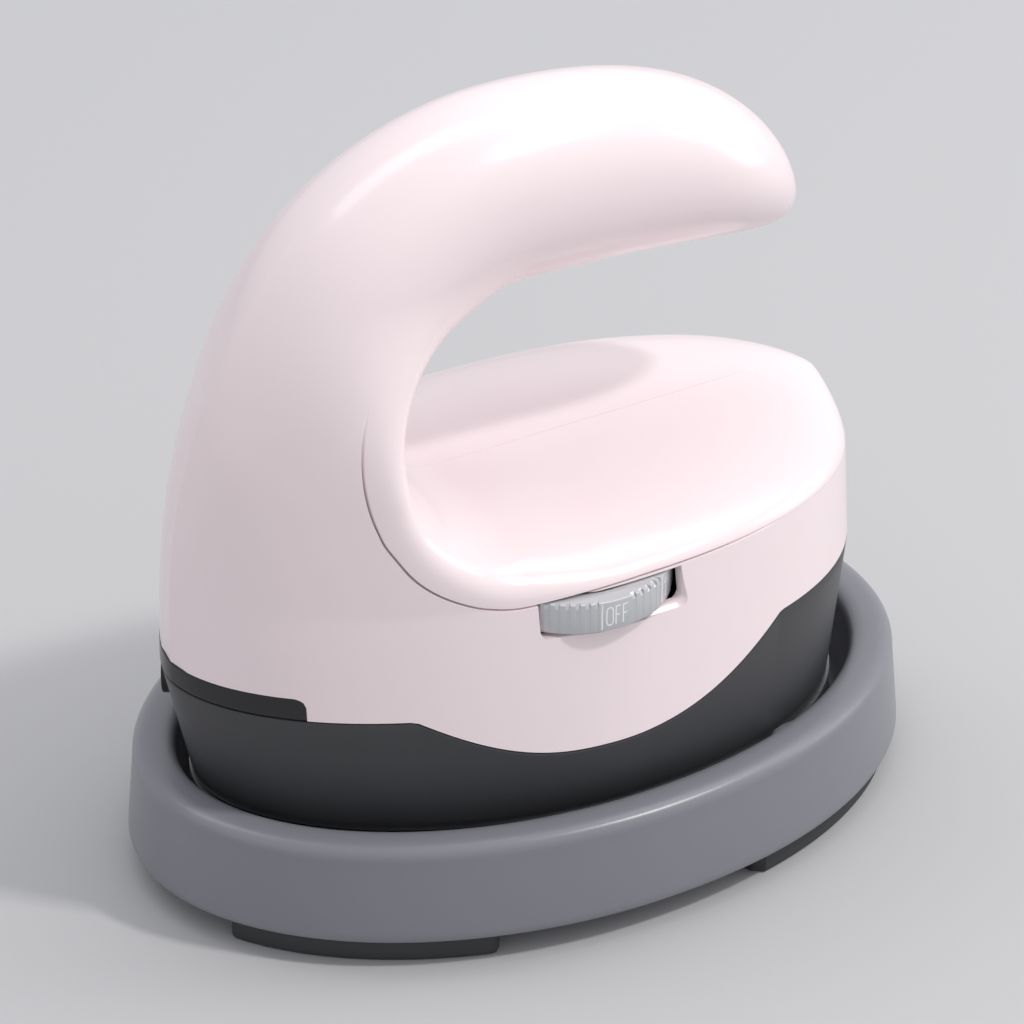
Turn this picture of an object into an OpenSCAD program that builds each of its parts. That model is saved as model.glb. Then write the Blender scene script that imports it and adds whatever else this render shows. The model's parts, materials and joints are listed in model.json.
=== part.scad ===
// Small handheld heat press: a hook-shaped moulded body with a crowned deck, a tapered lower housing,
// a heated sole plate, a thumbwheel on the right side and a separate rest tray with rubber feet.
// X runs from the rear to the open front, Z is up, and the feet stand on z = 0.

/* [Rest tray] */
// Play between the heated plate and the tray's inner wall at each side
tray_play_side = 0.5; // [0.4:0.1:3]
// Play behind the heated plate
tray_play_rear = 0.2; // [0.2:0.1:3]
// Play in front of the heated plate
tray_play_front = 4.4; // [2:0.1:7]
// Height of the tray above its feet
tray_h = 18.5; // [15:0.1:22]
// Thickness of the tray's wall at the rim
tray_wall = 7.6; // [6:0.1:8.5]
// Thickness of the tray's floor
tray_floor = 3.5; // [2.5:0.1:5]
// Height of the rubber feet
foot_h = 4.5; // [3:0.1:7]
// Depth of the rubber feet, measured inwards
foot_depth = 10; // [6:0.5:14]
// How much wider the tray is at its foot than at its rim, on each side
tray_draft = 1.2; // [0:0.1:1.6]

/* [Body] */
// Height of the deck's centre line
deck_z = 69.5; // [66:0.1:76]
// Front end of the body
front_x = 59.9; // [58:0.1:62]
// Rear end of the body
rear_x = -66; // [-69:0.1:-65]
// Half width of the body at its widest level
body_half_w = 41.8; // [40:0.1:43]
// Half width of the deck at its edge
deck_half_w = 36.9; // [35:0.1:39]
// Depth of the rolled edge round the deck
deck_roll = 8; // [5:0.1:9]
// Depth of the rolled edge up the column
column_roll = 11; // [8:0.1:12]
// Wall of the two moulded halves
shell_wall = 2.2; // [1.6:0.1:2.8]
// Height of the parting line at the rear
part_rear_z = 42.8; // [42:0.1:44]
// Lowest height of the parting line
part_low_z = 34; // [32:0.1:36]
// Height of the parting line at the front
part_front_z = 45.5; // [44:0.1:48]

/* [Handle] */
// Height of the handle's highest point
apex_z = 136.2; // [132:0.1:145]
// Thickness of the handle at its highest point
grip_t = 33.2; // [28:0.1:36]
// Half width of the handle
grip_half_w = 15.8; // [13:0.1:19]
// Reach of the handle's tip
tip_x = 52.6; // [46:0.1:58]
// Height of the handle's tip
tip_z = 103.5; // [101:0.1:106]
// Height that the underside falls to near the tip
tip_under_z = 98.4; // [96:0.1:100]
// Rear of the hand opening
grip_rear_x = -32; // [-34:0.1:-28]
// Half width of the column at its middle
column_half_w = 21.8; // [20:0.1:26]

/* [Lower housing] */
// Height of the housing's lower edge
skirt_z = 19.5; // [19.4:0.1:20.2]
// Wall of the lower housing
skirt_wall = 2.4; // [1.8:0.1:3]
// Height of the cord outlet cover
strip_h = 3.9; // [2.5:0.1:5]

/* [Sole plate] */
// Thickness of the heated plate
plate_t = 8.7; // [8:0.1:8.8]
// How far the plate stands out past the housing's lower edge
plate_proud = 0.5; // [0.2:0.1:0.7]
// Diameter of the tubular element
element_d = 6.6; // [5.5:0.1:6.8]
// Half the distance between the element's two legs
element_half = 15.5; // [13:0.5:15.5]

/* [Thumbwheel] */
// Diameter of the thumbwheel over its ribs
dial_d = 34; // [33:0.1:34.5]
// Thickness of the thumbwheel
dial_t = 5.6; // [4.5:0.1:6]
// How far the thumbwheel stands out of the side
dial_out = 2.8; // [2:0.1:3.5]
// Place of the thumbwheel along X
dial_x = -2.7; // [-6:0.1:2]
// Length of the slot in the side
slot_l = 26.6; // [25:0.1:30]
// Diameter of the switch shaft
shaft_d = 6; // [5:0.1:6.5]

/* [Cord inlet] */
// Bore of the cord bushing
cord_bore = 6.6; // [5:0.1:7.5]
// Height of the cord bushing's centre
cord_z = 36.4; // [36:0.1:36.6]
// Length of the cord bushing
bushing_l = 11; // [8:0.5:12]

/* [Hidden] */

// The outline is an egg: a superellipse with a pointed rear half and a blunt front half.
egg_x = 1.3;
rear_n = 1.8;
front_n = 2.39;
tray_rear_n = 1.96;
tray_front_n = 2.13;
egg_steps = 88;
running_gap = 0.05;
small_gap = 0.2;

tray_top = foot_h + tray_h;
tray_floor_z = foot_h + tray_floor;
mat_t = 1.5;
rib_h = 1;
plate_z = tray_floor_z + mat_t + rib_h;
plate_top = plate_z + plate_t;

skirt_front = front_x - egg_x - 3.4;
skirt_rear = egg_x - rear_x - 5.3;
skirt_half = body_half_w - 2.9;
edge_z = deck_z - deck_roll;

// The tray goes round the heated plate: play, the lean of the inner wall, the wall and its outer draft.
tray_lean = 1.2;
tray_reach = plate_proud + tray_lean + tray_wall + tray_draft;
tray_rear = skirt_rear + tray_play_rear + tray_reach;
tray_front = skirt_front + tray_play_front + tray_reach;
tray_half = skirt_half + tray_play_side + tray_reach;

// Levels of the stack above the plate: shouldered spacers, felt, shield and frame.
element_r = element_d / 2;
strap_t = 0.8;
felt_z = plate_top + element_r + running_gap + strap_t + 0.6;
felt_t = 2;
shield_t = 0.6;
shield_z = felt_z + felt_t;
frame_z = shield_z + shield_t + 0.5;
frame_t = 2.5;
frame_top = frame_z + frame_t;
ledge_w = 2.6;
ledge_t = 2;
stack_inset = skirt_wall + ledge_w + 0.5;
frame_inset = skirt_wall + small_gap;

leg_end_x = -0.4194 * skirt_rear;
bend_x = 0.3623 * skirt_front;
groove_run = 10;
strap_w = 6;
strap_foot = 5.5;
strap_x = [leg_end_x + 8, bend_x - 8];
sensor_r = 1.9;
sensor_x = bend_x - 16;
thermal_x = leg_end_x + 14;
small_screw_r = 1.4;
small_head_r = 2.6;
small_head_t = 1.6;
small_grip = 4.4;

plate_screw_r = 2;
plate_screw_places = concat(
    [for (s = [1, -1]) [-0.645 * skirt_rear, 0.45 * s * skirt_half]],
    [for (s = [1, -1]) [0.616 * skirt_front, 0.617 * s * skirt_half]]);
plate_grip = 4.5;
head_r = 3.6;
head_t = 2.2;
spacer_r = 4.5;
spacer_neck_r = 3;

frame_boss_r = 3.2;
frame_boss_h = 5;
frame_boss_inset = skirt_wall + 2.8;
frame_boss_angles = [30, 150, 210, 330];

dial_r = dial_d / 2;
dial_top = edge_z - 0.6;
dial_z = dial_top - dial_t;
slot_low = dial_z - 0.6;
slot_top = dial_top + 0.3;
dial_y = dial_r - dial_out - body_side((dial_top + dial_z) / 2);
shaft_r = shaft_d / 2;
hub_r = shaft_r + 3;
bushing_gap = 0.05;
neck_r = shaft_r + 1.6;
neck_h = 4.2;
nut_t = 2;
bracket_t = 1.2;
bracket_half = 8;
switch_top = dial_z - neck_h - 0.8;
switch_h = 11;
switch_half = 10.5;
board_t = 1.6;
board_top = switch_top - switch_h;
board_z = board_top - board_t;
post_r = 3.2;
board_rear_x = -0.516 * skirt_rear;
board_front_x = 0.5616 * skirt_front;
board_left_y = 0.4627 * skirt_half;
board_right_y = -0.848 * skirt_half;
board_cut_rear = [12, 13];
board_cut_front = [9, 7];
board_posts = [[board_rear_x + 5, board_left_y - 6], [board_front_x - 6, board_left_y - 5],
    [board_front_x - 4, board_right_y + 11], [dial_x - switch_half - 7.8, dial_y]];
post_pilot = 6.5;

strip_half = 21.8;
strip_t = 1.6;
cord_y = 14;
cord_turn = 35;
clamp_in = 15.5;
clamp_half = 6.5;
clamp_t = 4;
clamp_w = 8;

shell_screw_r = 1.5;
boss_r = 4.4;
counterbore_r = 3.1;
boss_seat = 6;

function spow(c, e) = sign(c) * pow(abs(c), e);
function clamp01(t) = min(1, max(0, t));
function smooth(t) = let (s = clamp01(t)) s * s * (3 - 2 * s);
function mix(a, b, t) = a + (b - a) * t;
function ramp(z, z0, z1, a, b) = mix(a, b, clamp01((z - z0) / (z1 - z0)));

// One point of an egg outline at angle t, with its rear, front and side reach.
function egg_point(t, rear, front, side, nr, nf) = let (c = cos(t), n = c < 0 ? nr : nf)
    [egg_x + (c < 0 ? rear : front) * spow(c, 2 / n), side * spow(sin(t), 2 / n)];
// Share of the half width that is left at station x.
function egg_share(x, rear, front) = let (d = x - egg_x, n = d < 0 ? rear_n : front_n)
    pow(max(0, 1 - pow(abs(d) / (d < 0 ? rear : front), n)), 1 / n);

function body_rear(z) = ramp(z, skirt_z, part_rear_z, skirt_rear, egg_x - rear_x);
function body_front(z) = ramp(z, skirt_z, part_front_z, skirt_front, front_x - egg_x);
function body_side(z) = z < part_low_z ? ramp(z, skirt_z, part_low_z, skirt_half, body_half_w)
    : ramp(z, part_low_z, edge_z, body_half_w, deck_half_w);

// Height of the parting line at x: flat at the rear, a dip in the middle, flat at the front.
dip_x = -7;
dip_rear_run = 30;
dip_front_run = 38;
dip_n = 1.25;
function dip(t) = pow(1 - cos(90 * clamp01(t)), dip_n);
function parting(x) = x < dip_x ? mix(part_low_z, part_rear_z, dip((dip_x - x) / dip_rear_run))
    : mix(part_low_z, part_front_z, dip((x - dip_x) / dip_front_run));

// The hook is swept along stations. Each station is a line across the side view, from the hand opening
// [x, z] to the outside [x, z], with a half width and a share that says how closed its section is.
arch_x = -2;
arch_z = 52.5;
arch_n = 2.06;
tip_n = 2.1;
grip_x = -4;
grip_z = 86;
fillet_x = -14;
taper_x = 28;
taper_n = 2.3;
blend_low_z = 82;
blend_high_z = apex_z - 23.2;
nose_roll = 14;
nose_drop = 3;
crown_n = 1.8;
column_n = 3.2;
roll_run = 34;
handle_steps = 11;
arch_steps = 15;
fillet_steps = 9;
deck_steps = 14;
section_steps = 14;

shell_bosses = [[tip_x - 18.6, handle_mid_z(tip_x - 18.6), grip_half_w - 1.8],
    [grip_rear_x - 6, mix(blend_low_z, blend_high_z, 0.742), column_half_w - 5.3],
    body_boss(front_x - 12.9, edge_z - 2.5, 1), body_boss(rear_x + 14, edge_z - 1.5, -1)];
// Height halfway between the handle's underside and its top at station x.
function handle_mid_z(x) = let (q = (x - arch_x) / (tip_x - arch_x), qi = (x - grip_x) / (tip_x - grip_x))
    (tip_z + (apex_z - tip_z) * pow(1 - pow(q, tip_n), 1 / tip_n)
    + mix(apex_z - grip_t, tip_under_z, qi * qi)) / 2;
// A boss of the body ends in the middle of the wall that it stands on.
function body_boss(x, z, side) = [x, z, (body_side(z) - shell_wall / 2)
    * egg_share(x + side * boss_r, egg_x - rear_x - shell_wall / 2, front_x - egg_x - shell_wall / 2)];

function rear_line(z, w) = arch_x - (arch_x - rear_x - w)
    * pow(max(0, 1 - pow(clamp01((z - arch_z) / (apex_z - w - arch_z)), arch_n)), 1 / arch_n);

function handle_station(t, w) = let (
    xo = arch_x + (tip_x - w - arch_x) * sin(90 * t), xi = grip_x + (tip_x - w - grip_x) * sin(90 * t),
    q = (xo - arch_x) / (tip_x - w - arch_x), qi = (xi - grip_x) / (tip_x - w - grip_x),
    top = tip_z + (apex_z - w - tip_z) * pow(max(0, 1 - pow(q, tip_n)), 1 / tip_n),
    under = mix(apex_z - grip_t + w, tip_under_z + w, qi * qi),
    low = mix(under, tip_z, 1 - sqrt(max(0, 1 - pow(qi, 14)))),
    taper = clamp01((xo - taper_x) / (tip_x - w - taper_x)))
    [[xi, low], [xo, top], (grip_half_w - w) * pow(max(0, 1 - pow(taper, taper_n)), 1 / taper_n), 1, 1];

function arch_station(t, w) = let (c = cos(90 * t), s = sin(90 * t), grip_top = apex_z - grip_t + w)
    [[grip_x - (grip_x - grip_rear_x + w) * c, grip_z + (grip_top - grip_z) * s],
     [arch_x - (arch_x - rear_x - w) * pow(c, 2 / arch_n),
      arch_z + (apex_z - w - arch_z) * pow(s, 2 / arch_n)],
     mix(column_half_w, grip_half_w, smooth(t)) - w, smooth(1.5 * t), smooth(2 * t - 1)];

function fillet_station(t, w) = let (
    xi = fillet_x - (fillet_x - grip_rear_x + w) * cos(90 * t),
    zi = grip_z - (grip_z - deck_z + w) * sin(90 * t),
    drop = arch_z - part_rear_z, run = fillet_x - 12 - rear_x, s = t * (drop + run),
    xo = mix(rear_x + w, fillet_x - 12, pow(clamp01((s - drop) / run), rear_n)))
    [[xi, zi], [xo, s < drop ? arch_z - s : parting(xo)], column_half_w - w, 0, 0];

function deck_station(t, w) = let (
    end = front_x - w, xi = mix(fillet_x, end, sin(90 * t)), xo = mix(fillet_x - 12, end, sin(90 * t)),
    d = clamp01((xi - end + nose_roll) / nose_roll))
    [[xi, deck_z - w - nose_drop * (1 - sqrt(1 - d * d))], [xo, parting(xo)],
     column_half_w - w, 0, 0];

function stations(w) = concat(
    [for (i = [handle_steps - 1:-1:0]) handle_station(i / handle_steps, w)],
    [for (i = [1:arch_steps]) arch_station(1 - i / arch_steps, w)],
    [for (i = [1:fillet_steps]) fillet_station(i / fillet_steps, w)],
    [for (i = [1:deck_steps]) deck_station(i / deck_steps, w)]);

// A point of the half shell: a is 0 at the hand opening and 180 at the outside or at the parting line.
function hook_point(st, a, w) = let (
    run = norm(st[1] - st[0]),
    forward = smooth((st[0][0] - grip_rear_x) / roll_run),
    n = mix(column_n, crown_n, forward),
    full = mix(column_roll, deck_roll, forward),
    roll = min(full - max(0, deck_z - w - st[0][1]), run / 2),
    open_depth = a <= 90 ? roll * (1 - pow(cos(a), 2 / n)) : mix(roll, run, (a - 90) / 90),
    depth = mix(open_depth, run * (1 - cos(a)) / 2, st[3]),
    p = st[0] + (st[1] - st[0]) * depth / run,
    round = a <= 90 ? pow(sin(a), 2 / n) : 1,
    rear = egg_x - (p[1] > arch_z ? rear_line(p[1], w) : rear_x + w),
    broad = (body_side(p[1]) - w) * egg_share(p[0], rear, front_x - w - egg_x) * round,
    slim = st[2] * sin(a),
    blend = max(st[4], smooth((p[1] - blend_low_z) / (blend_high_z - blend_low_z))))
    [p[0], max(0, mix(broad, slim, blend)), p[1]];

module half_shell() {
    columns = section_steps + 1;
    outer = stations(0);
    inner = stations(shell_wall);
    rows = len(outer);
    size = rows * columns;
    points = concat(
        [for (st = outer, j = [0:section_steps]) hook_point(st, 180 * j / section_steps, 0)],
        [for (st = inner, j = [0:section_steps]) hook_point(st, 180 * j / section_steps, shell_wall)],
        [[tip_x, 0, tip_z], [tip_x - shell_wall, 0, tip_z]]);
    quads = [for (i = [0:rows - 2], j = [0:section_steps - 1]) [i * columns + j, i * columns + j + 1,
        (i + 1) * columns + j + 1, (i + 1) * columns + j]];
    rim = concat([2 * size], [for (i = [0:rows - 1]) i * columns],
        [for (j = [1:section_steps]) (rows - 1) * columns + j],
        [for (i = [rows - 2:-1:0]) i * columns + section_steps]);
    rim_in = concat([2 * size + 1], [for (k = [1:len(rim) - 1]) rim[k] + size]);
    n = len(rim);
    faces = concat(
        [for (q = quads) [q[0], q[1], q[2]]], [for (q = quads) [q[0], q[2], q[3]]],
        [for (q = quads) [size + q[0], size + q[2], size + q[1]]],
        [for (q = quads) [size + q[0], size + q[3], size + q[2]]],
        [for (j = [0:section_steps - 1]) [2 * size, j + 1, j]],
        [for (j = [0:section_steps - 1]) [2 * size + 1, size + j, size + j + 1]],
        [for (k = [0:n - 1]) [rim[k], rim[(k + 1) % n], rim_in[(k + 1) % n]]],
        [for (k = [0:n - 1]) [rim[k], rim_in[(k + 1) % n], rim_in[k]]]);
    polyhedron(points, faces, convexity = 10);
}

// A closed solid through rings of equal length, capped at both ends or joined end to start.
module ring_loft(rings, capped = true) {
    n = len(rings[0]);
    m = len(rings);
    last = capped ? m - 2 : m - 1;
    walls = [for (i = [0:last], j = [0:n - 1]) [i * n + j, i * n + (j + 1) % n,
        ((i + 1) % m) * n + (j + 1) % n, ((i + 1) % m) * n + j]];
    faces = concat([for (q = walls) [q[0], q[2], q[1]]], [for (q = walls) [q[0], q[3], q[2]]],
        capped ? [[for (j = [0:n - 1]) j], [for (j = [n - 1:-1:0]) (m - 1) * n + j]] : []);
    polyhedron([for (r = rings, p = r) p], faces, convexity = 10);
}

function tray_ring(inset, z) = [for (k = [0:egg_steps - 1])
    let (p = egg_point(360 * k / egg_steps, tray_rear - inset, tray_front - inset, tray_half - inset,
        tray_rear_n, tray_front_n)) [p[0], p[1], z]];
// A ring of the body's outline at one level, or along the parting line moved up by rise.
function body_ring(inset, z) = [for (k = [0:egg_steps - 1])
    let (p = egg_point(360 * k / egg_steps, body_rear(z) - inset, body_front(z) - inset,
        body_side(z) - inset, rear_n, front_n)) [p[0], p[1], z]];
function parting_ring(inset, rise) = [for (k = [0:egg_steps - 1])
    let (t = 360 * k / egg_steps, x = egg_point(t, body_rear(part_rear_z) - inset,
        body_front(part_front_z) - inset, 1, rear_n, front_n)[0], z = parting(x))
    [x, (body_side(z) - inset) * spow(sin(t), 2 / (x < egg_x ? rear_n : front_n)), z + rise]];

module egg_plate(inset, z, t, level) {
    translate([0, 0, z]) linear_extrude(t) polygon([for (k = [0:egg_steps - 1])
        egg_point(360 * k / egg_steps, body_rear(level) - inset, body_front(level) - inset,
            body_side(level) - inset, rear_n, front_n)]);
}

module at_each(places) {
    for (p = places) translate([p[0], p[1], 0]) children();
}
frame_boss_places = [for (a = frame_boss_angles) egg_point(a, body_rear(frame_z) - frame_boss_inset,
    body_front(frame_z) - frame_boss_inset, body_side(frame_z) - frame_boss_inset, rear_n, front_n)];

// --- Rest tray ---
module base_tray() {
    rim = 3.2;
    shrink = tray_draft / tray_h;
    outer = [[0.6, foot_h], [0, foot_h + 1], [tray_draft, tray_top - rim]];
    crown = [for (a = [20:20:160]) [tray_draft + tray_wall / 2 - tray_wall / 2 * cos(a),
        tray_top - rim + rim * pow(sin(a), 0.8)]];
    inner = [[tray_draft + tray_wall, tray_top - rim], [tray_draft + tray_wall + tray_lean, tray_floor_z + 2],
        [tray_draft + tray_wall + tray_lean + 1.4, tray_floor_z]];
    color([0.46, 0.47, 0.51]) {
        ring_loft([for (r = concat(outer, crown, inner)) tray_ring(r[0], r[1])]);
        for (a = nub_angles) locating_nub(a);
    }
}

// A small bump on the inside of the rim that centres the press.
nub_r = 2;
nub_proud = 0.9;
nub_angles = [62, 298];
module locating_nub(a) {
    in = tray_draft + tray_wall - nub_r + nub_proud;
    p = egg_point(a, tray_rear - in, tray_front - in, tray_half - in, tray_rear_n, tray_front_n);
    translate([p[0], p[1], tray_floor_z - 0.5]) {
        cylinder(h = tray_top - 2.2 - tray_floor_z + 0.5, r = nub_r, $fn = 32);
        translate([0, 0, tray_top - 2.2 - tray_floor_z + 0.5]) sphere(r = nub_r, $fn = 32);
    }
}

mat_inset = tray_draft + tray_wall + 3;
mat_rib = [6, 52];
mat_pitch = 24;
module rest_mat() {
    color([0.30, 0.31, 0.33]) {
        translate([0, 0, tray_floor_z]) linear_extrude(mat_t)
            polygon([for (p = tray_ring(mat_inset, 0)) [p[0], p[1]]]);
        for (k = [-1.5:1.5]) translate([mat_pitch * k - mat_rib[0] / 2, -mat_rib[1] / 2, tray_floor_z + mat_t])
            cube([mat_rib[0], mat_rib[1], rib_h]);
    }
}

module foot_arc(from, to) {
    outer = [for (k = [0:12]) egg_point(mix(from, to, k / 12), tray_rear - 2, tray_front - 2, tray_half - 2,
        tray_rear_n, tray_front_n)];
    d = 2 + foot_depth;
    inner = [for (k = [12:-1:0]) egg_point(mix(from, to, k / 12), tray_rear - d, tray_front - d,
        tray_half - d, tray_rear_n, tray_front_n)];
    linear_extrude(foot_h) polygon(concat(outer, inner));
}
module front_foot() { color([0.40, 0.41, 0.44]) foot_arc(-74, 74); }
module rear_foot_left() { color([0.40, 0.41, 0.44]) foot_arc(115, 160); }
module rear_foot_right() { color([0.40, 0.41, 0.44]) foot_arc(200, 245); }

// --- Moulded halves ---
// The black strip over the parting line at the rear, and the notch that it sits in.
module rear_band(out, in, half, z0, z1) {
    intersection() {
        ring_loft([body_ring(-out, z0), body_ring(-out, z1), body_ring(in, z1), body_ring(in, z0)], false);
        translate([rear_x - 5, -half, z0 - 1]) cube([-rear_x, 2 * half, z1 - z0 + 2]);
    }
}
module strip_notch() {
    rear_band(1, strip_t + running_gap, strip_half + running_gap, part_rear_z - 1,
        part_rear_z + strip_h + running_gap);
}
module boss(b, r) {
    translate([b[0], 0, b[1]]) rotate([-90, 0, 0]) cylinder(h = b[2], r = r, $fn = 40);
}
module shell_left() {
    color([0.93, 0.86, 0.87]) difference() {
        union() {
            half_shell();
            for (b = shell_bosses) boss(b, boss_r);
        }
        for (b = shell_bosses) translate([b[0], -1, b[1]]) rotate([-90, 0, 0]) {
            cylinder(h = 30, r = shell_screw_r + running_gap, $fn = 32);
            translate([0, 0, 1 + boss_seat]) cylinder(h = 30, r = counterbore_r, $fn = 40);
        }
        strip_notch();
    }
}
module shell_right() {
    pilot = 10;
    color([0.93, 0.86, 0.87]) difference() {
        mirror([0, 1, 0]) union() {
            half_shell();
            for (b = shell_bosses) boss(b, boss_r);
        }
        for (b = shell_bosses) translate([b[0], 1, b[1]]) rotate([90, 0, 0])
            cylinder(h = pilot + 1, r = shell_screw_r + running_gap, $fn = 32);
        translate([dial_x - slot_l / 2, -body_half_w - 5, slot_low])
            cube([slot_l, body_half_w - deck_half_w + 14, slot_top - slot_low]);
        translate([dial_x, dial_y, slot_low]) cylinder(h = slot_top - slot_low, r = dial_r + 0.5, $fn = 96);
        strip_notch();
    }
}
module shell_screws() {
    reach = 9;
    color([0.70, 0.70, 0.72]) for (b = shell_bosses) translate([b[0], 0, b[1]]) rotate([-90, 0, 0]) {
        translate([0, 0, -reach]) cylinder(h = reach + boss_seat, r = shell_screw_r, $fn = 32);
        translate([0, 0, boss_seat]) cylinder(h = 2, r = counterbore_r - 0.3, $fn = 32);
    }
}

// --- Lower housing and cord inlet ---
// Places its children on the cord's line: outwards is +X, the origin is on the housing's surface.
module on_cord_line() {
    rear = body_rear(cord_z);
    x = egg_x - rear * pow(1 - pow(cord_y / body_side(cord_z), rear_n), 1 / rear_n);
    translate([x, cord_y, cord_z]) rotate([0, 0, 180 - cord_turn]) children();
}
bushing_r = cord_bore / 2 + 1.8;
module lower_housing() {
    lip_in = shell_wall + 0.5;
    lip_t = 1.3;
    lip_h = 2.2;
    color([0.24, 0.24, 0.26]) difference() {
        union() {
            ring_loft([body_ring(0, skirt_z), parting_ring(0, -small_gap),
                parting_ring(lip_in, -small_gap), parting_ring(lip_in, lip_h),
                parting_ring(lip_in + lip_t, lip_h), body_ring(skirt_wall, frame_z + 1),
                body_ring(skirt_wall, frame_z), body_ring(skirt_wall + ledge_w, frame_z),
                body_ring(skirt_wall + ledge_w, frame_z - ledge_t),
                body_ring(skirt_wall, frame_z - ledge_t), body_ring(skirt_wall, skirt_z)], false);
            translate([0, 0, frame_z - frame_boss_h]) at_each(frame_boss_places)
                cylinder(h = frame_boss_h, r = frame_boss_r, $fn = 32);
        }
        translate([0, 0, frame_z - frame_boss_h + 0.6]) at_each(frame_boss_places)
            cylinder(h = frame_boss_h, r = small_screw_r + running_gap, $fn = 32);
        on_cord_line() translate([-8, 0, 0]) rotate([0, 90, 0])
            cylinder(h = 12, r = bushing_r + running_gap, $fn = 48);
    }
}
module cord_outlet_cover() {
    color([0.03, 0.03, 0.04])
        rear_band(0.1, strip_t, strip_half, part_rear_z + 0.05, part_rear_z + strip_h);
}
module cord_bushing() {
    flange_r = bushing_r + 0.9;
    flange_t = 1.2;
    color([0.05, 0.05, 0.06]) on_cord_line() rotate([0, 90, 0]) difference() {
        union() {
            translate([0, 0, 0.9 - bushing_l]) cylinder(h = bushing_l, r = bushing_r, $fn = 48);
            translate([0, 0, -flange_t - skirt_wall - 2.6]) cylinder(h = flange_t, r = flange_r, $fn = 48);
        }
        translate([0, 0, -bushing_l]) cylinder(h = bushing_l + 2, r = cord_bore / 2, $fn = 48);
    }
}
module cord_clamp() {
    groove_r = cord_bore / 2;
    color([0.22, 0.22, 0.24]) on_cord_line() translate([-clamp_in, 0, 0]) difference() {
        translate([-clamp_w / 2, -clamp_half - 3, 0.6]) cube([clamp_w, 2 * clamp_half + 6, clamp_t]);
        rotate([0, 90, 0]) translate([0, 0, -clamp_w]) cylinder(h = 2 * clamp_w, r = groove_r, $fn = 40);
        for (s = [-1, 1]) translate([0, s * clamp_half, -1])
            cylinder(h = 20, r = small_screw_r + running_gap, $fn = 32);
    }
}
module clamp_screws() {
    color([0.70, 0.70, 0.72]) on_cord_line() for (s = [-1, 1])
        translate([-clamp_in, s * clamp_half, 0.6 + clamp_t]) small_screw(clamp_t + 4);
}

// A small pan-head screw: its head's seat is at z = 0 and its shank points down.
module small_screw(reach) {
    translate([0, 0, -reach]) cylinder(h = reach, r = small_screw_r, $fn = 32);
    difference() {
        cylinder(h = small_head_t, r = small_head_r, $fn = 32);
        translate([-0.35, -1.6, small_head_t - 0.7]) cube([0.7, 3.2, 1]);
        translate([-1.6, -0.35, small_head_t - 0.7]) cube([3.2, 0.7, 1]);
    }
}

// --- Inner frame ---
module inner_frame() {
    color([0.60, 0.57, 0.50]) difference() {
        union() {
            egg_plate(frame_inset, frame_z, frame_t, frame_z);
            translate([0, 0, frame_top]) at_each(board_posts)
                cylinder(h = board_z - frame_top, r = post_r, $fn = 32);
            on_cord_line() for (s = [-1, 1]) translate([-clamp_in, s * clamp_half, frame_z - cord_z])
                cylinder(h = cord_z + 0.6 - frame_z, r = 2.8, $fn = 32);
        }
        at_each(plate_screw_places) translate([0, 0, frame_z - 1])
            cylinder(h = frame_t + 2, r = plate_screw_r + running_gap, $fn = 32);
        at_each(frame_boss_places) translate([0, 0, frame_z - 1])
            cylinder(h = frame_t + 2, r = small_screw_r + running_gap, $fn = 32);
        at_each(board_posts) translate([0, 0, board_z - post_pilot])
            cylinder(h = post_pilot + 1, r = small_screw_r + running_gap, $fn = 32);
        on_cord_line() for (s = [-1, 1]) translate([-clamp_in, s * clamp_half, 0.6 - 4.6])
            cylinder(h = 6, r = small_screw_r + running_gap, $fn = 32);
    }
}
module frame_screws() {
    color([0.70, 0.70, 0.72]) at_each(frame_boss_places) translate([0, 0, frame_top])
        small_screw(frame_t + frame_boss_h - 1.4);
}

// --- Sole plate and heating ---
module element_path(r) {
    translate([bend_x, 0, 0]) rotate([0, 0, -90]) rotate_extrude(angle = 180, $fn = 96)
        translate([element_half, 0]) circle(r = r, $fn = 32);
    for (s = [-1, 1]) translate([leg_end_x, s * element_half, 0]) rotate([0, 90, 0])
        cylinder(h = bend_x - leg_end_x, r = r, $fn = 32);
}
strap_places = [for (x = strap_x, s = [-1, 1]) [x, s]];
strap_screw_places = [for (p = strap_places) [p[0],
    p[1] * (element_half - element_r - running_gap - strap_t - strap_foot / 2)]];
clip_screw_places = [for (x = [sensor_x, thermal_x])
    [x - sensor_r - running_gap - strap_t - strap_foot / 2, 0]];
module sole_plate() {
    color([0.55, 0.56, 0.58]) difference() {
        egg_plate(-plate_proud, plate_z, plate_t, skirt_z);
        translate([0, 0, plate_top]) element_path(element_r + running_gap);
        for (s = [-1, 1]) translate([leg_end_x - groove_run, s * element_half, plate_top])
            rotate([0, 90, 0]) cylinder(h = groove_run + 0.5, r = element_r, $fn = 32);
        translate([0, 0, plate_top - plate_grip]) at_each(plate_screw_places)
            cylinder(h = plate_grip + 1, r = plate_screw_r + running_gap, $fn = 32);
        translate([0, 0, plate_top - small_grip]) at_each(concat(strap_screw_places, clip_screw_places))
            cylinder(h = small_grip + 1, r = small_screw_r + running_gap, $fn = 32);
    }
}
module heating_element() {
    color([0.45, 0.45, 0.47]) translate([0, 0, plate_top]) element_path(element_r);
}
module element_terminals() {
    bead_l = 5;
    color([0.85, 0.83, 0.78]) for (s = [-1, 1]) translate([leg_end_x, s * element_half, plate_top])
        rotate([0, -90, 0]) {
            cylinder(h = bead_l, r = 2.6, $fn = 32);
            cylinder(h = bead_l + 4, r = 1.1, $fn = 24);
        }
}
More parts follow.
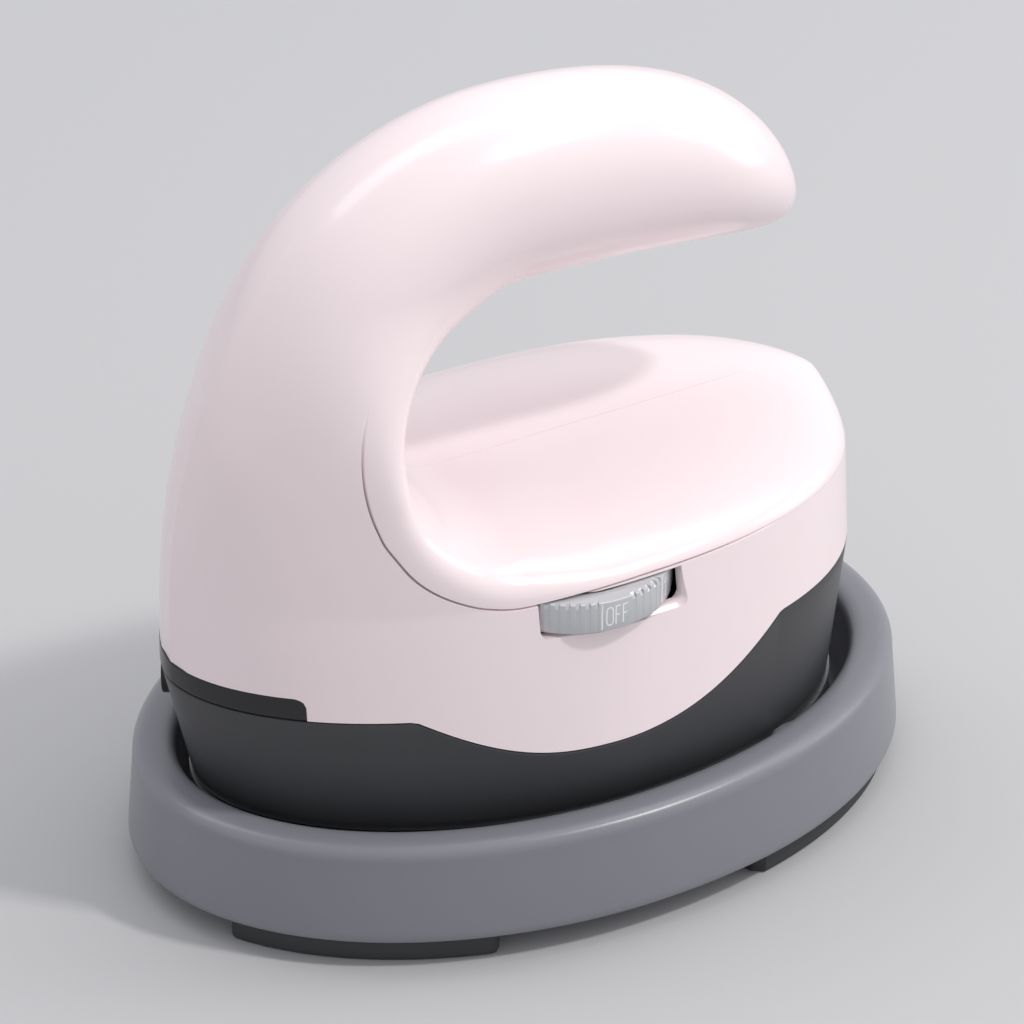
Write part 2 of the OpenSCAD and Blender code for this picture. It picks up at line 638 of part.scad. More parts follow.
// A hat-shaped clip over a round bar of radius r that lies along Y; its feet are at z = 0.
module hat_clip(r, rise, w, both) {
    side = r + running_gap;
    top = rise + running_gap;
    foot = side + strap_t + strap_foot;
    other = both ? foot : side + strap_t + 1.5;
    difference() {
        translate([0, w / 2, 0]) rotate([90, 0, 0]) linear_extrude(w) polygon([[-foot, 0], [-side, 0],
            [-side, top], [side, top], [side, 0], [other, 0], [other, strap_t],
            [side + strap_t, strap_t], [side + strap_t, top + strap_t], [-side - strap_t, top + strap_t],
            [-side - strap_t, strap_t], [-foot, strap_t]]);
        translate([-foot + strap_foot / 2, 0, -1])
            cylinder(h = 3, r = small_screw_r + running_gap, $fn = 32);
    }
}
module element_straps() {
    color([0.72, 0.73, 0.75]) for (p = strap_places) translate([p[0], p[1] * element_half, plate_top])
        rotate([0, 0, 90 * p[1]]) hat_clip(element_r, element_r, strap_w, false);
}
module sensor_clips() {
    color([0.72, 0.73, 0.75]) for (x = [sensor_x, thermal_x]) translate([x, 0, plate_top])
        hat_clip(sensor_r, 2 * sensor_r, strap_w, false);
}
module strap_screws() {
    color([0.70, 0.70, 0.72]) at_each(concat(strap_screw_places, clip_screw_places))
        translate([0, 0, plate_top + strap_t]) small_screw(strap_t + small_grip - 0.4);
}
module sensor_bar(x, half) {
    translate([x, half, plate_top + sensor_r]) rotate([90, 0, 0]) {
        cylinder(h = 2 * half, r = sensor_r, $fn = 40);
        translate([0, 0, -2.4]) cylinder(h = 2 * half + 4.8, r = 0.6, $fn = 24);
    }
}
module temperature_sensor() { color([0.20, 0.20, 0.22]) sensor_bar(sensor_x, 6); }
module thermal_fuse() { color([0.80, 0.74, 0.55]) sensor_bar(thermal_x, 7); }
module plate_spacers() {
    color([0.86, 0.84, 0.79]) at_each(plate_screw_places) translate([0, 0, plate_top]) difference() {
        union() {
            cylinder(h = felt_z - plate_top, r = spacer_r, $fn = 40);
            cylinder(h = frame_z - plate_top, r = spacer_neck_r, $fn = 40);
        }
        translate([0, 0, -1]) cylinder(h = 20, r = plate_screw_r + running_gap, $fn = 32);
    }
}
module plate_screws() {
    reach = frame_top - plate_top + plate_grip - 0.5;
    color([0.70, 0.70, 0.72]) at_each(plate_screw_places) translate([0, 0, frame_top]) {
        translate([0, 0, -reach]) cylinder(h = reach, r = plate_screw_r, $fn = 32);
        difference() {
            cylinder(h = head_t, r = head_r, $fn = 40);
            translate([0, 0, 0.8]) cylinder(h = head_t, r = 1.6, $fn = 6);
        }
    }
}
module stack_sheet(z, t) {
    difference() {
        egg_plate(stack_inset, z, t, z);
        translate([0, 0, z - 1]) at_each(plate_screw_places)
            cylinder(h = t + 2, r = spacer_neck_r + running_gap, $fn = 40);
        translate([0, 0, z - 1]) at_each(frame_boss_places)
            cylinder(h = t + 2, r = frame_boss_r + 0.5, $fn = 40);
        translate([leg_end_x - groove_run, -8, z - 1]) cube([8, 16, t + 2]);
    }
}
module insulation_felt() { color([0.82, 0.80, 0.72]) stack_sheet(felt_z, felt_t); }
module heat_shield() { color([0.74, 0.75, 0.77]) stack_sheet(shield_z, shield_t); }

// --- Electronics ---
module control_board() {
    color([0.10, 0.36, 0.20]) difference() {
        translate([0, 0, board_z]) linear_extrude(board_t)
            polygon([[board_rear_x, board_left_y], [board_rear_x, board_right_y + board_cut_rear[1]],
                [board_rear_x + board_cut_rear[0], board_right_y],
                [board_front_x - board_cut_front[0], board_right_y],
                [board_front_x, board_right_y + board_cut_front[1]], [board_front_x, board_left_y]]);
        translate([0, 0, board_z - 1]) at_each(board_posts)
            cylinder(h = board_t + 2, r = small_screw_r + running_gap, $fn = 32);
    }
}
module board_screws() {
    color([0.70, 0.70, 0.72]) for (k = [0:3]) {
        seat = board_top + (k == 3 ? bracket_t : 0);
        translate([board_posts[k][0], board_posts[k][1], seat])
            small_screw(seat - board_z + post_pilot - 0.6);
    }
}
relay_size = [15, 19, 14.5];
module relay() {
    color([0.13, 0.30, 0.55]) translate([board_front_x - 4 - relay_size[0], board_left_y - 9 - relay_size[1],
        board_top]) cube(relay_size);
}
capacitor_r = 5;
capacitor_h = 15;
module capacitor() {
    color([0.14, 0.14, 0.30]) translate([board_front_x - 27, board_left_y - 8, board_top]) {
        cylinder(h = capacitor_h, r = capacitor_r, $fn = 48);
        cylinder(h = 1, r = capacitor_r + 0.3, $fn = 48);
    }
}
terminal_pitch = 7;
terminal_size = [9, 3 * terminal_pitch, 10];
module terminal_block() {
    color([0.16, 0.42, 0.22]) translate([board_rear_x + 0.5, dial_y + bracket_half + 0.8, board_top])
        difference() {
            cube(terminal_size);
            for (k = [0.5:2.5]) translate([0, k * terminal_pitch, 0]) {
                translate([terminal_size[0] / 2, 0, 6]) cylinder(h = 6, r = 2, $fn = 32);
                translate([-1, -2.2, 1.2]) cube([5, 4.4, 4]);
            }
        }
}
fuse_x = board_rear_x + 20;
fuse_y = board_left_y - 12;
fuse_r = 2.6;
fuse_l = 20;
fuse_lift = fuse_r + 1.6;
module fuse_holder() {
    color([0.78, 0.70, 0.45]) for (x = [fuse_x - fuse_l / 2 + 0.8, fuse_x + fuse_l / 2 - 4.2])
        translate([x, fuse_y, board_top]) difference() {
            translate([0, -fuse_r - 0.8, 0]) cube([3.4, 2 * fuse_r + 1.6, fuse_lift + 1.2]);
            translate([-1, 0, fuse_lift]) rotate([0, 90, 0])
                cylinder(h = 6, r = fuse_r + running_gap, $fn = 40);
        }
}
module glass_fuse() {
    color([0.75, 0.78, 0.80]) translate([fuse_x - fuse_l / 2, fuse_y, board_top + fuse_lift])
        rotate([0, 90, 0]) {
            cylinder(h = 5, r = fuse_r, $fn = 40);
            cylinder(h = fuse_l, r = fuse_r - 0.3, $fn = 40);
            translate([0, 0, fuse_l - 5]) cylinder(h = 5, r = fuse_r, $fn = 40);
        }
}

// --- Rotary switch and thumbwheel ---
module at_dial(z) { translate([dial_x, dial_y, z]) children(); }
module switch_body() {
    shaft_foot = 6;
    color([0.12, 0.12, 0.13]) at_dial(board_top) difference() {
        union() {
            translate([-switch_half, -switch_half, 0]) cube([2 * switch_half, 2 * switch_half, switch_h]);
            cylinder(h = switch_h + neck_h, r = neck_r, $fn = 48);
        }
        translate([0, 0, switch_h - shaft_foot]) cylinder(h = 20, r = shaft_r + bushing_gap, $fn = 48);
    }
}
module switch_bracket() {
    wing = switch_half + 1;
    foot_l = 9;
    color([0.72, 0.73, 0.75]) at_dial(0) difference() {
        union() {
            translate([-wing - bracket_t, -bracket_half, switch_top])
                cube([wing + bracket_t + 9, 2 * bracket_half, bracket_t]);
            translate([-wing - bracket_t, -bracket_half, board_top])
                cube([bracket_t, 2 * bracket_half, switch_h + bracket_t]);
            translate([-wing - foot_l, -bracket_half, board_top]) cube([foot_l, 2 * bracket_half, bracket_t]);
        }
        translate([0, 0, switch_top - 1]) cylinder(h = 4, r = neck_r + running_gap, $fn = 48);
        translate([board_posts[3][0] - dial_x, board_posts[3][1] - dial_y, board_top - 1])
            cylinder(h = 4, r = small_screw_r + running_gap, $fn = 32);
    }
}
module switch_nut() {
    color([0.78, 0.78, 0.80]) at_dial(switch_top + bracket_t) difference() {
        cylinder(h = nut_t, r = neck_r + 2.2, $fn = 6);
        translate([0, 0, -1]) cylinder(h = 5, r = neck_r + running_gap, $fn = 48);
    }
}
module dial_shaft() {
    color([0.80, 0.80, 0.82]) at_dial(board_top + switch_h - 5)
        cylinder(h = dial_top - 1 - board_top - switch_h + 5, r = shaft_r, $fn = 48);
}
module thumbwheel() {
    rib_count = 60;
    rib_d = 0.5;
    web_t = 1.8;
    rim_t = 3;
    color([0.72, 0.73, 0.75]) at_dial(dial_z) difference() {
        union() {
            difference() {
                linear_extrude(dial_t) polygon([for (k = [0:4 * rib_count - 1])
                    let (r = dial_r - (k % 4 < 2 ? 0 : rib_d), a = 90 * k / rib_count)
                    [r * cos(a), r * sin(a)]]);
                translate([0, 0, -1]) cylinder(h = dial_t - web_t + 1, r = dial_r - rim_t, $fn = 72);
            }
            cylinder(h = dial_t, r = hub_r, $fn = 48);
        }
        translate([0, 0, -1]) cylinder(h = dial_t, r = shaft_r + running_gap, $fn = 48);
    }
}

base_tray();
rest_mat();
front_foot();
rear_foot_left();
rear_foot_right();
shell_left();
shell_right();
shell_screws();
lower_housing();
cord_outlet_cover();
cord_bushing();
cord_clamp();
clamp_screws();
inner_frame();
frame_screws();
sole_plate();
heating_element();
element_terminals();
element_straps();
plate_spacers();
plate_screws();
insulation_felt();
heat_shield();
temperature_sensor();
thermal_fuse();
sensor_clips();
strap_screws();
control_board();
board_screws();
relay();
capacitor();
terminal_block();
fuse_holder();
glass_fuse();
switch_body();
switch_nut();
switch_bracket();
dial_shaft();
thumbwheel();
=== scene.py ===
import bpy
import json
import math
import numpy as np
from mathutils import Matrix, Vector

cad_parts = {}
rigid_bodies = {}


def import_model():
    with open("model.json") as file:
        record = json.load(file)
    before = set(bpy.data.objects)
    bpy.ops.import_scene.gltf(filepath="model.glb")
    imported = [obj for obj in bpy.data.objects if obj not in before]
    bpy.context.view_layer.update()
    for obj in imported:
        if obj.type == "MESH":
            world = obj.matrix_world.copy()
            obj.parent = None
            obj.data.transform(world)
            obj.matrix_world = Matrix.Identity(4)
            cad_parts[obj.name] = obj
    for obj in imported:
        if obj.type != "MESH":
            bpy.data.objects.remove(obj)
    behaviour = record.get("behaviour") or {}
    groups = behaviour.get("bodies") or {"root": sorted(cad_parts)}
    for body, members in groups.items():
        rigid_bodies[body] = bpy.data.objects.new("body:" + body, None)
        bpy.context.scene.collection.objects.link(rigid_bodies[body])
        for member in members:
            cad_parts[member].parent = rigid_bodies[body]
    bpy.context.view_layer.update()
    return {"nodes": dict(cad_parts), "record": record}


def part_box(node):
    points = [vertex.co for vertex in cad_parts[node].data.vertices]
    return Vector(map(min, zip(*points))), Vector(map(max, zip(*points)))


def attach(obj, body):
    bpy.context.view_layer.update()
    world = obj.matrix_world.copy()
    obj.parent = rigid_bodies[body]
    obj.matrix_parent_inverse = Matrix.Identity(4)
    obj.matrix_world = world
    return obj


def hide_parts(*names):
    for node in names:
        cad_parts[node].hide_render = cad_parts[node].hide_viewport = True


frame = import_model()
mm = 0.001


# shared shape rules, in millimetres, repeated from the CAD source

egg = dict(x=1.3, rearN=1.8, frontN=2.39, trayRearN=1.96, trayFrontN=2.13)
body = dict(rearX=-66, frontX=59.9, halfW=41.8, deckHalfW=36.9, deckZ=69.5, roll=8, wall=2.2,
            partRear=42.8, partLow=34, partFront=45.5, dipX=-7, dipRear=30, dipFront=38, dipN=1.25,
            skirtZ=19.5, skirtRear=62.0, skirtFront=55.2, skirtHalf=38.9)
edgeZ = body["deckZ"] - body["roll"]


def mix(a, b, t):
    return a + (b - a) * t


def smooth(t):
    # 3t^2 - 2t^3 between 0 and 1, level outside
    t = np.clip(t, 0, 1)
    return t * t * (3 - 2 * t)


def ramp(x, start, length):
    # a smooth rise from 0 at start to 1 at start + length
    return smooth((x - start) / length)


def spow(c, e):
    # a power that keeps the sign
    return np.sign(c) * np.abs(c) ** e


def roundedBox(t, halfW, halfH, r, far):
    # the corner's circle at angle t, carried by far * (cos, sin) held inside the corners' centres
    return (np.clip(np.cos(t) * far, -(halfW - r), halfW - r) + r * np.cos(t),
            np.clip(np.sin(t) * far, -(halfH - r), halfH - r) + r * np.sin(t))


# reach of the egg outline at a height: straight lines from the skirt to the parting line and the deck
def bodyRear(z):
    return np.interp(z, [body["skirtZ"], body["partRear"]], [body["skirtRear"], egg["x"] - body["rearX"]])


def bodyFront(z):
    return np.interp(z, [body["skirtZ"], body["partFront"]], [body["skirtFront"], body["frontX"] - egg["x"]])


def bodySide(z):
    return np.interp(z, [body["skirtZ"], body["partLow"], edgeZ],
                     [body["skirtHalf"], body["halfW"], body["deckHalfW"]])


def eggShare(x, rear, front):
    # share of the half width left at x: (1 - |d / reach|^n)^(1/n), with its own n behind and in front
    d = x - egg["x"]
    n = np.where(d < 0, egg["rearN"], egg["frontN"])
    reach = np.where(d < 0, rear, front)
    return np.clip(1 - np.abs(d / reach) ** n, 0, 1) ** (1 / n)


def eggPoint(t, rear, front, side, rearN, frontN):
    # superellipse point at angle t: x = reach cos^(2/n), y = side sin^(2/n)
    c, s = np.cos(t), np.sin(t)
    n = np.where(c < 0, rearN, frontN)
    return egg["x"] + np.where(c < 0, rear, front) * spow(c, 2 / n), side * spow(s, 2 / n)


def parting(x):
    # two rises, (1 - cos)^n, from the lowest point to the flat rear and the flat front
    rear = np.clip((body["dipX"] - x) / body["dipRear"], 0, 1)
    front = np.clip((x - body["dipX"]) / body["dipFront"], 0, 1)
    rise = lambda t: (1 - np.cos(t * np.pi / 2)) ** body["dipN"]
    return np.where(x < body["dipX"], mix(body["partLow"], body["partRear"], rise(rear)),
                    mix(body["partLow"], body["partFront"], rise(front)))


# mesh helpers

def makeMesh(name, points, faces, sharpAngle=35):
    mesh = bpy.data.meshes.new(name)
    mesh.from_pydata((np.asarray(points) * mm).tolist(), [], faces)
    mesh.validate()
    mesh.update()
    piece = bpy.data.objects.new(name, mesh)
    reshade(piece, sharpAngle)
    bpy.context.scene.collection.objects.link(piece)
    return piece


def gridFaces(rows, cols, wrapRows=False, wrapCols=False, start=0, flip=False):
    # quads over a grid of points, row by row, optionally joined end to start
    i = np.arange(rows if wrapRows else rows - 1)
    j = np.arange(cols if wrapCols else cols - 1)
    i, j = [a.ravel() for a in np.meshgrid(i, j, indexing="ij")]
    ni, nj = (i + 1) % rows, (j + 1) % cols
    quads = np.stack([i * cols + j, i * cols + nj, ni * cols + nj, ni * cols + j], 1) + start
    return quads[:, ::-1] if flip else quads


def join(blocks):
    # several (points, faces) blocks as one
    points, faces, at = [], [], 0
    for p, f in blocks:
        p = np.asarray(p, float).reshape(-1, 3)
        points.append(p)
        faces += [[int(k) + at for k in face] for face in f]
        at += len(p)
    return np.concatenate(points), faces


def ringSolid(rings, wrapRings=True):
    # rings x points x 3, joined round each ring and, when wrapped, from the last ring to the first
    rows, cols = rings.shape[:2]
    faces = gridFaces(rows, cols, wrapRows=wrapRings, wrapCols=True).tolist()
    if not wrapRings:
        faces += [list(range(cols))[::-1], list(range((rows - 1) * cols, rows * cols))]
    return rings.reshape(-1, 3), faces


def tube(centre, direction, radius, low, high, steps=48):
    # a round bar along a direction, from low to high
    d = Vector(direction).normalized()
    u = d.orthogonal().normalized()
    v = d.cross(u)
    t = np.linspace(0, 2 * np.pi, steps, endpoint=False)
    circle = np.outer(np.cos(t), u) + np.outer(np.sin(t), v)
    c = np.array(centre, float)
    along = lambda h: c + circle * radius + np.array(d) * h
    return ringSolid(np.stack([along(low), along(high)]), False)


def fixNormals(piece):
    # turns every face outwards
    bpy.context.view_layer.objects.active = piece
    for o in bpy.context.selected_objects:
        o.select_set(False)
    piece.select_set(True)
    bpy.ops.object.mode_set(mode="EDIT")
    bpy.ops.mesh.select_all(action="SELECT")
    bpy.ops.mesh.normals_make_consistent(inside=False)
    bpy.ops.object.mode_set(mode="OBJECT")


def cut(piece, tool, operation="DIFFERENCE"):
    # takes the tool from the piece, or joins it on, and removes the tool
    fixNormals(tool)
    m = piece.modifiers.new("cut", "BOOLEAN")
    m.operation = operation
    m.solver = "EXACT"
    m.object = tool
    bpy.context.view_layer.objects.active = piece
    with bpy.context.temp_override(object=piece, active_object=piece):
        bpy.ops.object.modifier_apply(modifier="cut")
    bpy.data.objects.remove(tool)


def reshade(piece, sharpAngle):
    # smooth shading, broken where two faces meet at more than the angle
    mesh = piece.data
    mesh.polygons.foreach_set("use_smooth", [True] * len(mesh.polygons))
    mesh.set_sharp_from_angle(angle=math.radians(sharpAngle))


def seat(piece, bodyName, slotName, *nodes):
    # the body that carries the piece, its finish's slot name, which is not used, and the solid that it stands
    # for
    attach(piece, bodyName)
    if nodes:
        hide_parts(*nodes)
    return piece


# moulded body: a hook swept along side-view stations

hook = dict(archX=-2, archZ=52.5, archN=2.06, tipN=2.1, apexZ=136.2, gripT=33.2, gripHalf=15.8,
            tipX=52.6, tipZ=103.5, tipUnder=98.4, gripX=-4, gripZ=86, gripRear=-32, filletX=-14,
            columnHalf=21.8, taperX=28, taperN=2.3, blendLow=82, blendHigh=113, noseRoll=14,
            noseDrop=3, crownN=1.8, columnN=3.2, columnRoll=10.35, rollRun=34, filletOut=12,
            endN=14, rearShare=0.15, rollBump=1.7, rollBumpAt=0.02, rollBumpBelow=0.2, rollBumpAbove=0.16,
            rows=(70, 100, 60, 96), rollSteps=42, sideSteps=30, grooveDepth=1.2, grooveWidth=0.16,
            grooveFade=(8, 28), seamDeep=0.16, seamHalf=0.09, seamEnd=(40, 12))
# a station holds: inner x and z, outer x and z, half width of the slim section, how far that section is
# closed, least share of the slim section, strength of the groove, and place, from -1 at the arch's top
# through 0 where the arch meets the fillet to 2 at the front of the deck


def handleStations(t, w):
    # grip from the arch to the tip: the top is a superellipse, the underside a parabola
    h = hook
    end = h["tipX"] - w
    xo = mix(h["archX"], end, np.sin(t * np.pi / 2))
    xi = mix(h["gripX"], end, np.sin(t * np.pi / 2))
    q = (xo - h["archX"]) / (end - h["archX"])
    qi = (xi - h["gripX"]) / (end - h["gripX"])
    top = h["tipZ"] + (h["apexZ"] - w - h["tipZ"]) * np.clip(1 - q ** h["tipN"], 0, 1) ** (1 / h["tipN"])
    under = mix(h["apexZ"] - h["gripT"] + w, h["tipUnder"] + w, qi * qi)
    low = mix(under, h["tipZ"], 1 - np.sqrt(np.clip(1 - qi ** h["endN"], 0, 1)))
    taper = np.clip((xo - h["taperX"]) / (end - h["taperX"]), 0, 1)
    half = (h["gripHalf"] - w) * np.clip(1 - taper ** h["taperN"], 0, 1) ** (1 / h["taperN"])
    one = np.ones_like(t)
    return np.stack([xi, low, xo, top, half, one, one, 0 * one, -one], 1)


def archStations(t, w):
    # a quarter ellipse inside, a quarter superellipse outside
    h = hook
    c, s = np.cos(t * np.pi / 2), np.sin(t * np.pi / 2)
    xi = h["gripX"] - (h["gripX"] - h["gripRear"] + w) * c
    zi = h["gripZ"] + (h["apexZ"] - h["gripT"] + w - h["gripZ"]) * s
    xo = h["archX"] - (h["archX"] - body["rearX"] - w) * c ** (2 / h["archN"])
    zo = h["archZ"] + (h["apexZ"] - w - h["archZ"]) * s ** (2 / h["archN"])
    half = mix(h["columnHalf"], h["gripHalf"], smooth(t)) - w
    return np.stack([xi, zi, xo, zo, half, smooth(1.5 * t), ramp(t, 0.2, 0.8),
                     1 - ramp(t, 0.12, 0.28), -t], 1)


def filletStations(t, w):
    # a quarter ellipse inside; outside, the point goes down the rear, then out along the parting line
    h = hook
    c, s = np.cos(t * np.pi / 2), np.sin(t * np.pi / 2)
    xi = h["filletX"] - (h["filletX"] - h["gripRear"] + w) * c
    zi = h["gripZ"] - (h["gripZ"] - body["deckZ"] + w) * s
    drop = h["archZ"] - body["partRear"]
    share = h["rearShare"]
    down, out = np.clip(t / share, 0, 1), np.clip((t - share) / (1 - share), 0, 1)
    xo = mix(body["rearX"] + w, h["filletX"] - h["filletOut"], out ** egg["rearN"])
    zo = np.where(t < share, h["archZ"] - drop * (1 - (1 - down) ** 2), parting(xo))
    one = np.ones_like(t)
    return np.stack([xi, zi, xo, zo, (h["columnHalf"] - w) * one, 0 * one, 0 * one, one, t], 1)


def deckStations(t, w):
    # level deck with a quarter-round nose, over the parting line
    h = hook
    end = body["frontX"] - w
    xi = mix(h["filletX"], end, np.sin(t * np.pi / 2))
    xo = mix(h["filletX"] - h["filletOut"], end, np.sin(t * np.pi / 2))
    d = np.clip((xi - end + h["noseRoll"]) / h["noseRoll"], 0, 1)
    zi = body["deckZ"] - w - h["noseDrop"] * (1 - np.sqrt(1 - d * d))
    one = np.ones_like(t)
    return np.stack([xi, zi, xo, parting(xo), (h["columnHalf"] - w) * one, 0 * one, 0 * one,
                     1 - ramp(xi, *h["grooveFade"]), 1 + t], 1)


def stations(w):
    n = hook["rows"]
    return np.concatenate([
        handleStations(np.linspace(0.996, 0, n[0]), w),
        archStations(1 - np.arange(1, n[1] + 1) / n[1], w),
        filletStations(np.arange(1, n[2] + 1) / n[2], w),
        deckStations(np.arange(1, n[3] + 1) / n[3], w)])


def sectionAngles(roll, run, power, closed):
    # per row: even steps to the edge of the roll, a fine band at set distances round the groove, then on;
    # one more column lies a hair's width from the seam
    h = hook
    near = np.array([0.04, 0.08, 0.12, 0.16, 0.2, 0.25, 0.32, 0.42, 0.6, 1.0, 1.6])
    off = near[None, :] * np.clip(roll / 3, 0, 1)
    before = np.arccos((off / roll) ** (1 / power))[:, ::-1]
    after = np.pi / 2 * (1 + off / (run - roll))
    first = before[:, :1] * (np.arange(h["rollSteps"]) / h["rollSteps"])
    hair = mix((h["seamHalf"] / 35) ** (1 / power), 0.006, closed)
    first = np.concatenate([first[:, :1], hair, first[:, 1:]], 1)
    last = after[:, -1:] + (np.pi - after[:, -1:]) * (np.arange(1, h["sideSteps"] + 1) / h["sideSteps"])
    return np.concatenate([first, before, np.full_like(roll, np.pi / 2), after, last], 1)


def rearLine(z, w):
    # x of the arch's outer superellipse at height z
    h = hook
    up = np.clip((z - h["archZ"]) / (h["apexZ"] - w - h["archZ"]), 0, 1) ** h["archN"]
    return h["archX"] - (h["archX"] - body["rearX"] - w) * (1 - up) ** (1 / h["archN"])


def rollDepth(place):
    # a bell-shaped bump where the arch meets the fillet, and 1 mm more up the arch
    h = hook
    wide = np.where(place < h["rollBumpAt"], h["rollBumpBelow"], h["rollBumpAbove"])
    bump = h["rollBump"] * np.exp(-((place - h["rollBumpAt"]) / wide) ** 2)
    return h["columnRoll"] + bump + ramp(-place, 0.25, 0.2)


def hookSurface(w):
    # point = inner contour + (outer - inner) * depth; y blends a broad egg body with a slim round grip
    h = hook
    st = stations(w)[:, None, :]
    xi, zi, xo, zo, half, closed, blendMin, fade, place = [st[..., k] for k in range(9)]
    run = np.hypot(xo - xi, zo - zi)
    forward = ramp(xi, h["gripRear"], h["rollRun"])
    power = 2 / mix(h["columnN"], h["crownN"], forward)
    roll = mix(rollDepth(place), body["roll"], ramp(place, 0.8, 0.4))
    roll = np.minimum(roll - np.maximum(0, body["deckZ"] - w - zi), run / 2)
    angle = sectionAngles(roll, run, power, closed)
    rollPart = angle <= np.pi / 2
    openDepth = np.where(rollPart, roll * (1 - np.abs(np.cos(angle)) ** power),
                         mix(roll, run, (angle - np.pi / 2) / (np.pi / 2)))
    depth = mix(openDepth, run * (1 - np.cos(angle)) / 2, closed)
    if w == 0:
        depth[:, :1] += h["seamDeep"] * ramp(place, 0.55, 0.3) * (1 - ramp(xi, *h["seamEnd"]))
    x = xi + (xo - xi) * depth / run
    z = zi + (zo - zi) * depth / run
    rear = egg["x"] - np.where(z > h["archZ"], rearLine(z, w), body["rearX"] + w)
    roundShare = np.where(rollPart, np.abs(np.sin(angle)) ** power, 1)
    broad = (bodySide(z) - w) * eggShare(x, rear, body["frontX"] - w - egg["x"]) * roundShare
    blend = np.maximum(blendMin, ramp(z, h["blendLow"], h["blendHigh"] - h["blendLow"]))
    y = np.maximum(0, mix(broad, half * np.sin(angle), blend))
    if w == 0:
        off = depth - mix(roll, run / 2, closed)
        groove = h["grooveDepth"] * fade * np.exp(-(off / h["grooveWidth"]) ** 4)
        y = np.maximum(0, y - groove * smooth(y / 4))
    return np.stack([x, y, z], -1)


def halfShell(name, side):
    # outer surface, inner surface one wall in, a pole at the tip of each, and a rim between them at y = 0
    outer, inner = hookSurface(0), hookSurface(body["wall"])
    rows, cols = outer.shape[:2]
    size = rows * cols
    pole = [[hook["tipX"], 0, hook["tipZ"]], [hook["tipX"] - body["wall"], 0, hook["tipZ"]]]
    points = np.concatenate([outer.reshape(-1, 3), inner.reshape(-1, 3), pole])
    rim = np.concatenate([[2 * size], np.arange(rows) * cols, (rows - 1) * cols + np.arange(1, cols),
                          np.arange(rows - 2, -1, -1) * cols + cols - 1])
    rimIn = np.concatenate([[2 * size + 1], rim[1:] + size])
    nextRim, nextIn = np.roll(rim, -1), np.roll(rimIn, -1)
    faces = gridFaces(rows, cols, flip=True).tolist() + gridFaces(rows, cols, start=size).tolist()
    faces += [[2 * size, j, j + 1] for j in range(cols - 1)]
    faces += [[2 * size + 1, size + j + 1, size + j] for j in range(cols - 1)]
    faces += np.stack([rim, nextRim, nextIn, rimIn], 1)[:, ::-1].tolist()
    points[:, 1] *= side
    piece = makeMesh(name, points, faces)
    fixNormals(piece)
    return piece


# each boss: x, z and reach in y
bosses = dict(places=[(34, 114.87, 14), (-38, 105, 16.5), (47, 59, 21.3), (-52, 60, 15.5)], r=4.4,
              screwR=1.55, recessR=3.1, seat=6, pilot=10)
slot = dict(x=-2.7, length=26.6, low=54.7, high=61.2, corner=1.6, bevel=0.5, bevelDeep=0.7,
            outward=0.3, wheelGap=0.5)
strip = dict(half=21.8, height=3.9, inside=1.6, proud=0.1, corner=1.6, edge=0.28, clear=0.05,
             steps=160, toolOut=1.0, toolEdge=0.01)


def slotTool():
    # rounded-rectangle sections along Y, wider towards the outside but not at the top
    s = slot
    t = np.linspace(0, 2 * np.pi, 96, endpoint=False)
    sections = []
    surfaceY = -bodySide((s["low"] + s["high"]) / 2) + 0.1
    far = 60
    wide = s["bevel"] + s["outward"]
    for y, grow in ((-body["halfW"] - 8, wide), (surfaceY - 0.4, wide),
                    (surfaceY + s["bevelDeep"] * 0.4, s["bevel"] * 0.36), (surfaceY + s["bevelDeep"], 0),
                    (surfaceY + 12, 0)):
        halfL, low = s["length"] / 2 + grow, s["low"] - grow
        halfH, mid = (s["high"] - low) / 2, (s["high"] + low) / 2
        x, z = roundedBox(t, halfL, halfH, s["corner"], far)
        z = np.where(z > 0, np.clip(np.sin(t) * far, 0, halfH), z)
        x = np.where(z > 0, np.clip(np.cos(t) * far, -halfL, halfL), x)
        sections.append(np.stack([s["x"] + x, np.full_like(x, y), mid + z], 1))
    return makeMesh("slotTool", *ringSolid(np.stack(sections), False))


def bossTool(side, r, low, high=None):
    # round bars along Y at the bosses, to one depth or, where none is given, to each boss's own reach
    return makeMesh("bossTool", *join([tube((x, 0, z), (0, side, 0), r, low, high or reach)
                                       for x, z, reach in bosses["places"]]))


def stripTool():
    # the strip's own shape, larger by the clearance and reaching out of the body
    s = strip
    c = s["clear"]
    return makeMesh("stripTool", *stripSolid(s["toolOut"], s["inside"] + c, s["half"] + c, body["partRear"] - 1,
                                             body["partRear"] + s["height"] + c, s["corner"] - 2 * c,
                                             s["toolEdge"]))


def stripSolid(out, inside, half, low, high, corner, edge):
    # a closed band: round its section with small rounded edges, carried round the rear of the egg outline
    steps = strip["steps"]
    mid, halfH = (low + high) / 2, (high - low) / 2
    side = bodySide(mid)
    limit = np.arcsin((half / side) ** (egg["rearN"] / 2))
    t = np.pi + np.linspace(-1, 1, steps) * limit
    u = np.linspace(0, 2 * np.pi, 40, endpoint=False)
    halfT, middle = (out + inside) / 2, (out - inside) / 2
    ex, ez = roundedBox(u, halfT, halfH, edge, 9)
    ex = ex + middle
    reach = np.abs(t - np.pi)
    gap = (limit - reach) / limit * half
    top = corner - np.sqrt(np.clip(corner ** 2 - np.clip(corner - gap, 0, corner) ** 2, 0, None))
    rings = []
    for k in range(steps):
        z = mid + ez - np.where(ez > 0, top[k], 0)
        x, y = eggPoint(np.full_like(u, t[k]), bodyRear(body["partRear"]) + ex, 50 + ex, bodySide(z) + ex,
                        egg["rearN"], egg["frontN"])
        rings.append(np.stack([x, y, z], 1))
    return ringSolid(np.stack(rings), False)


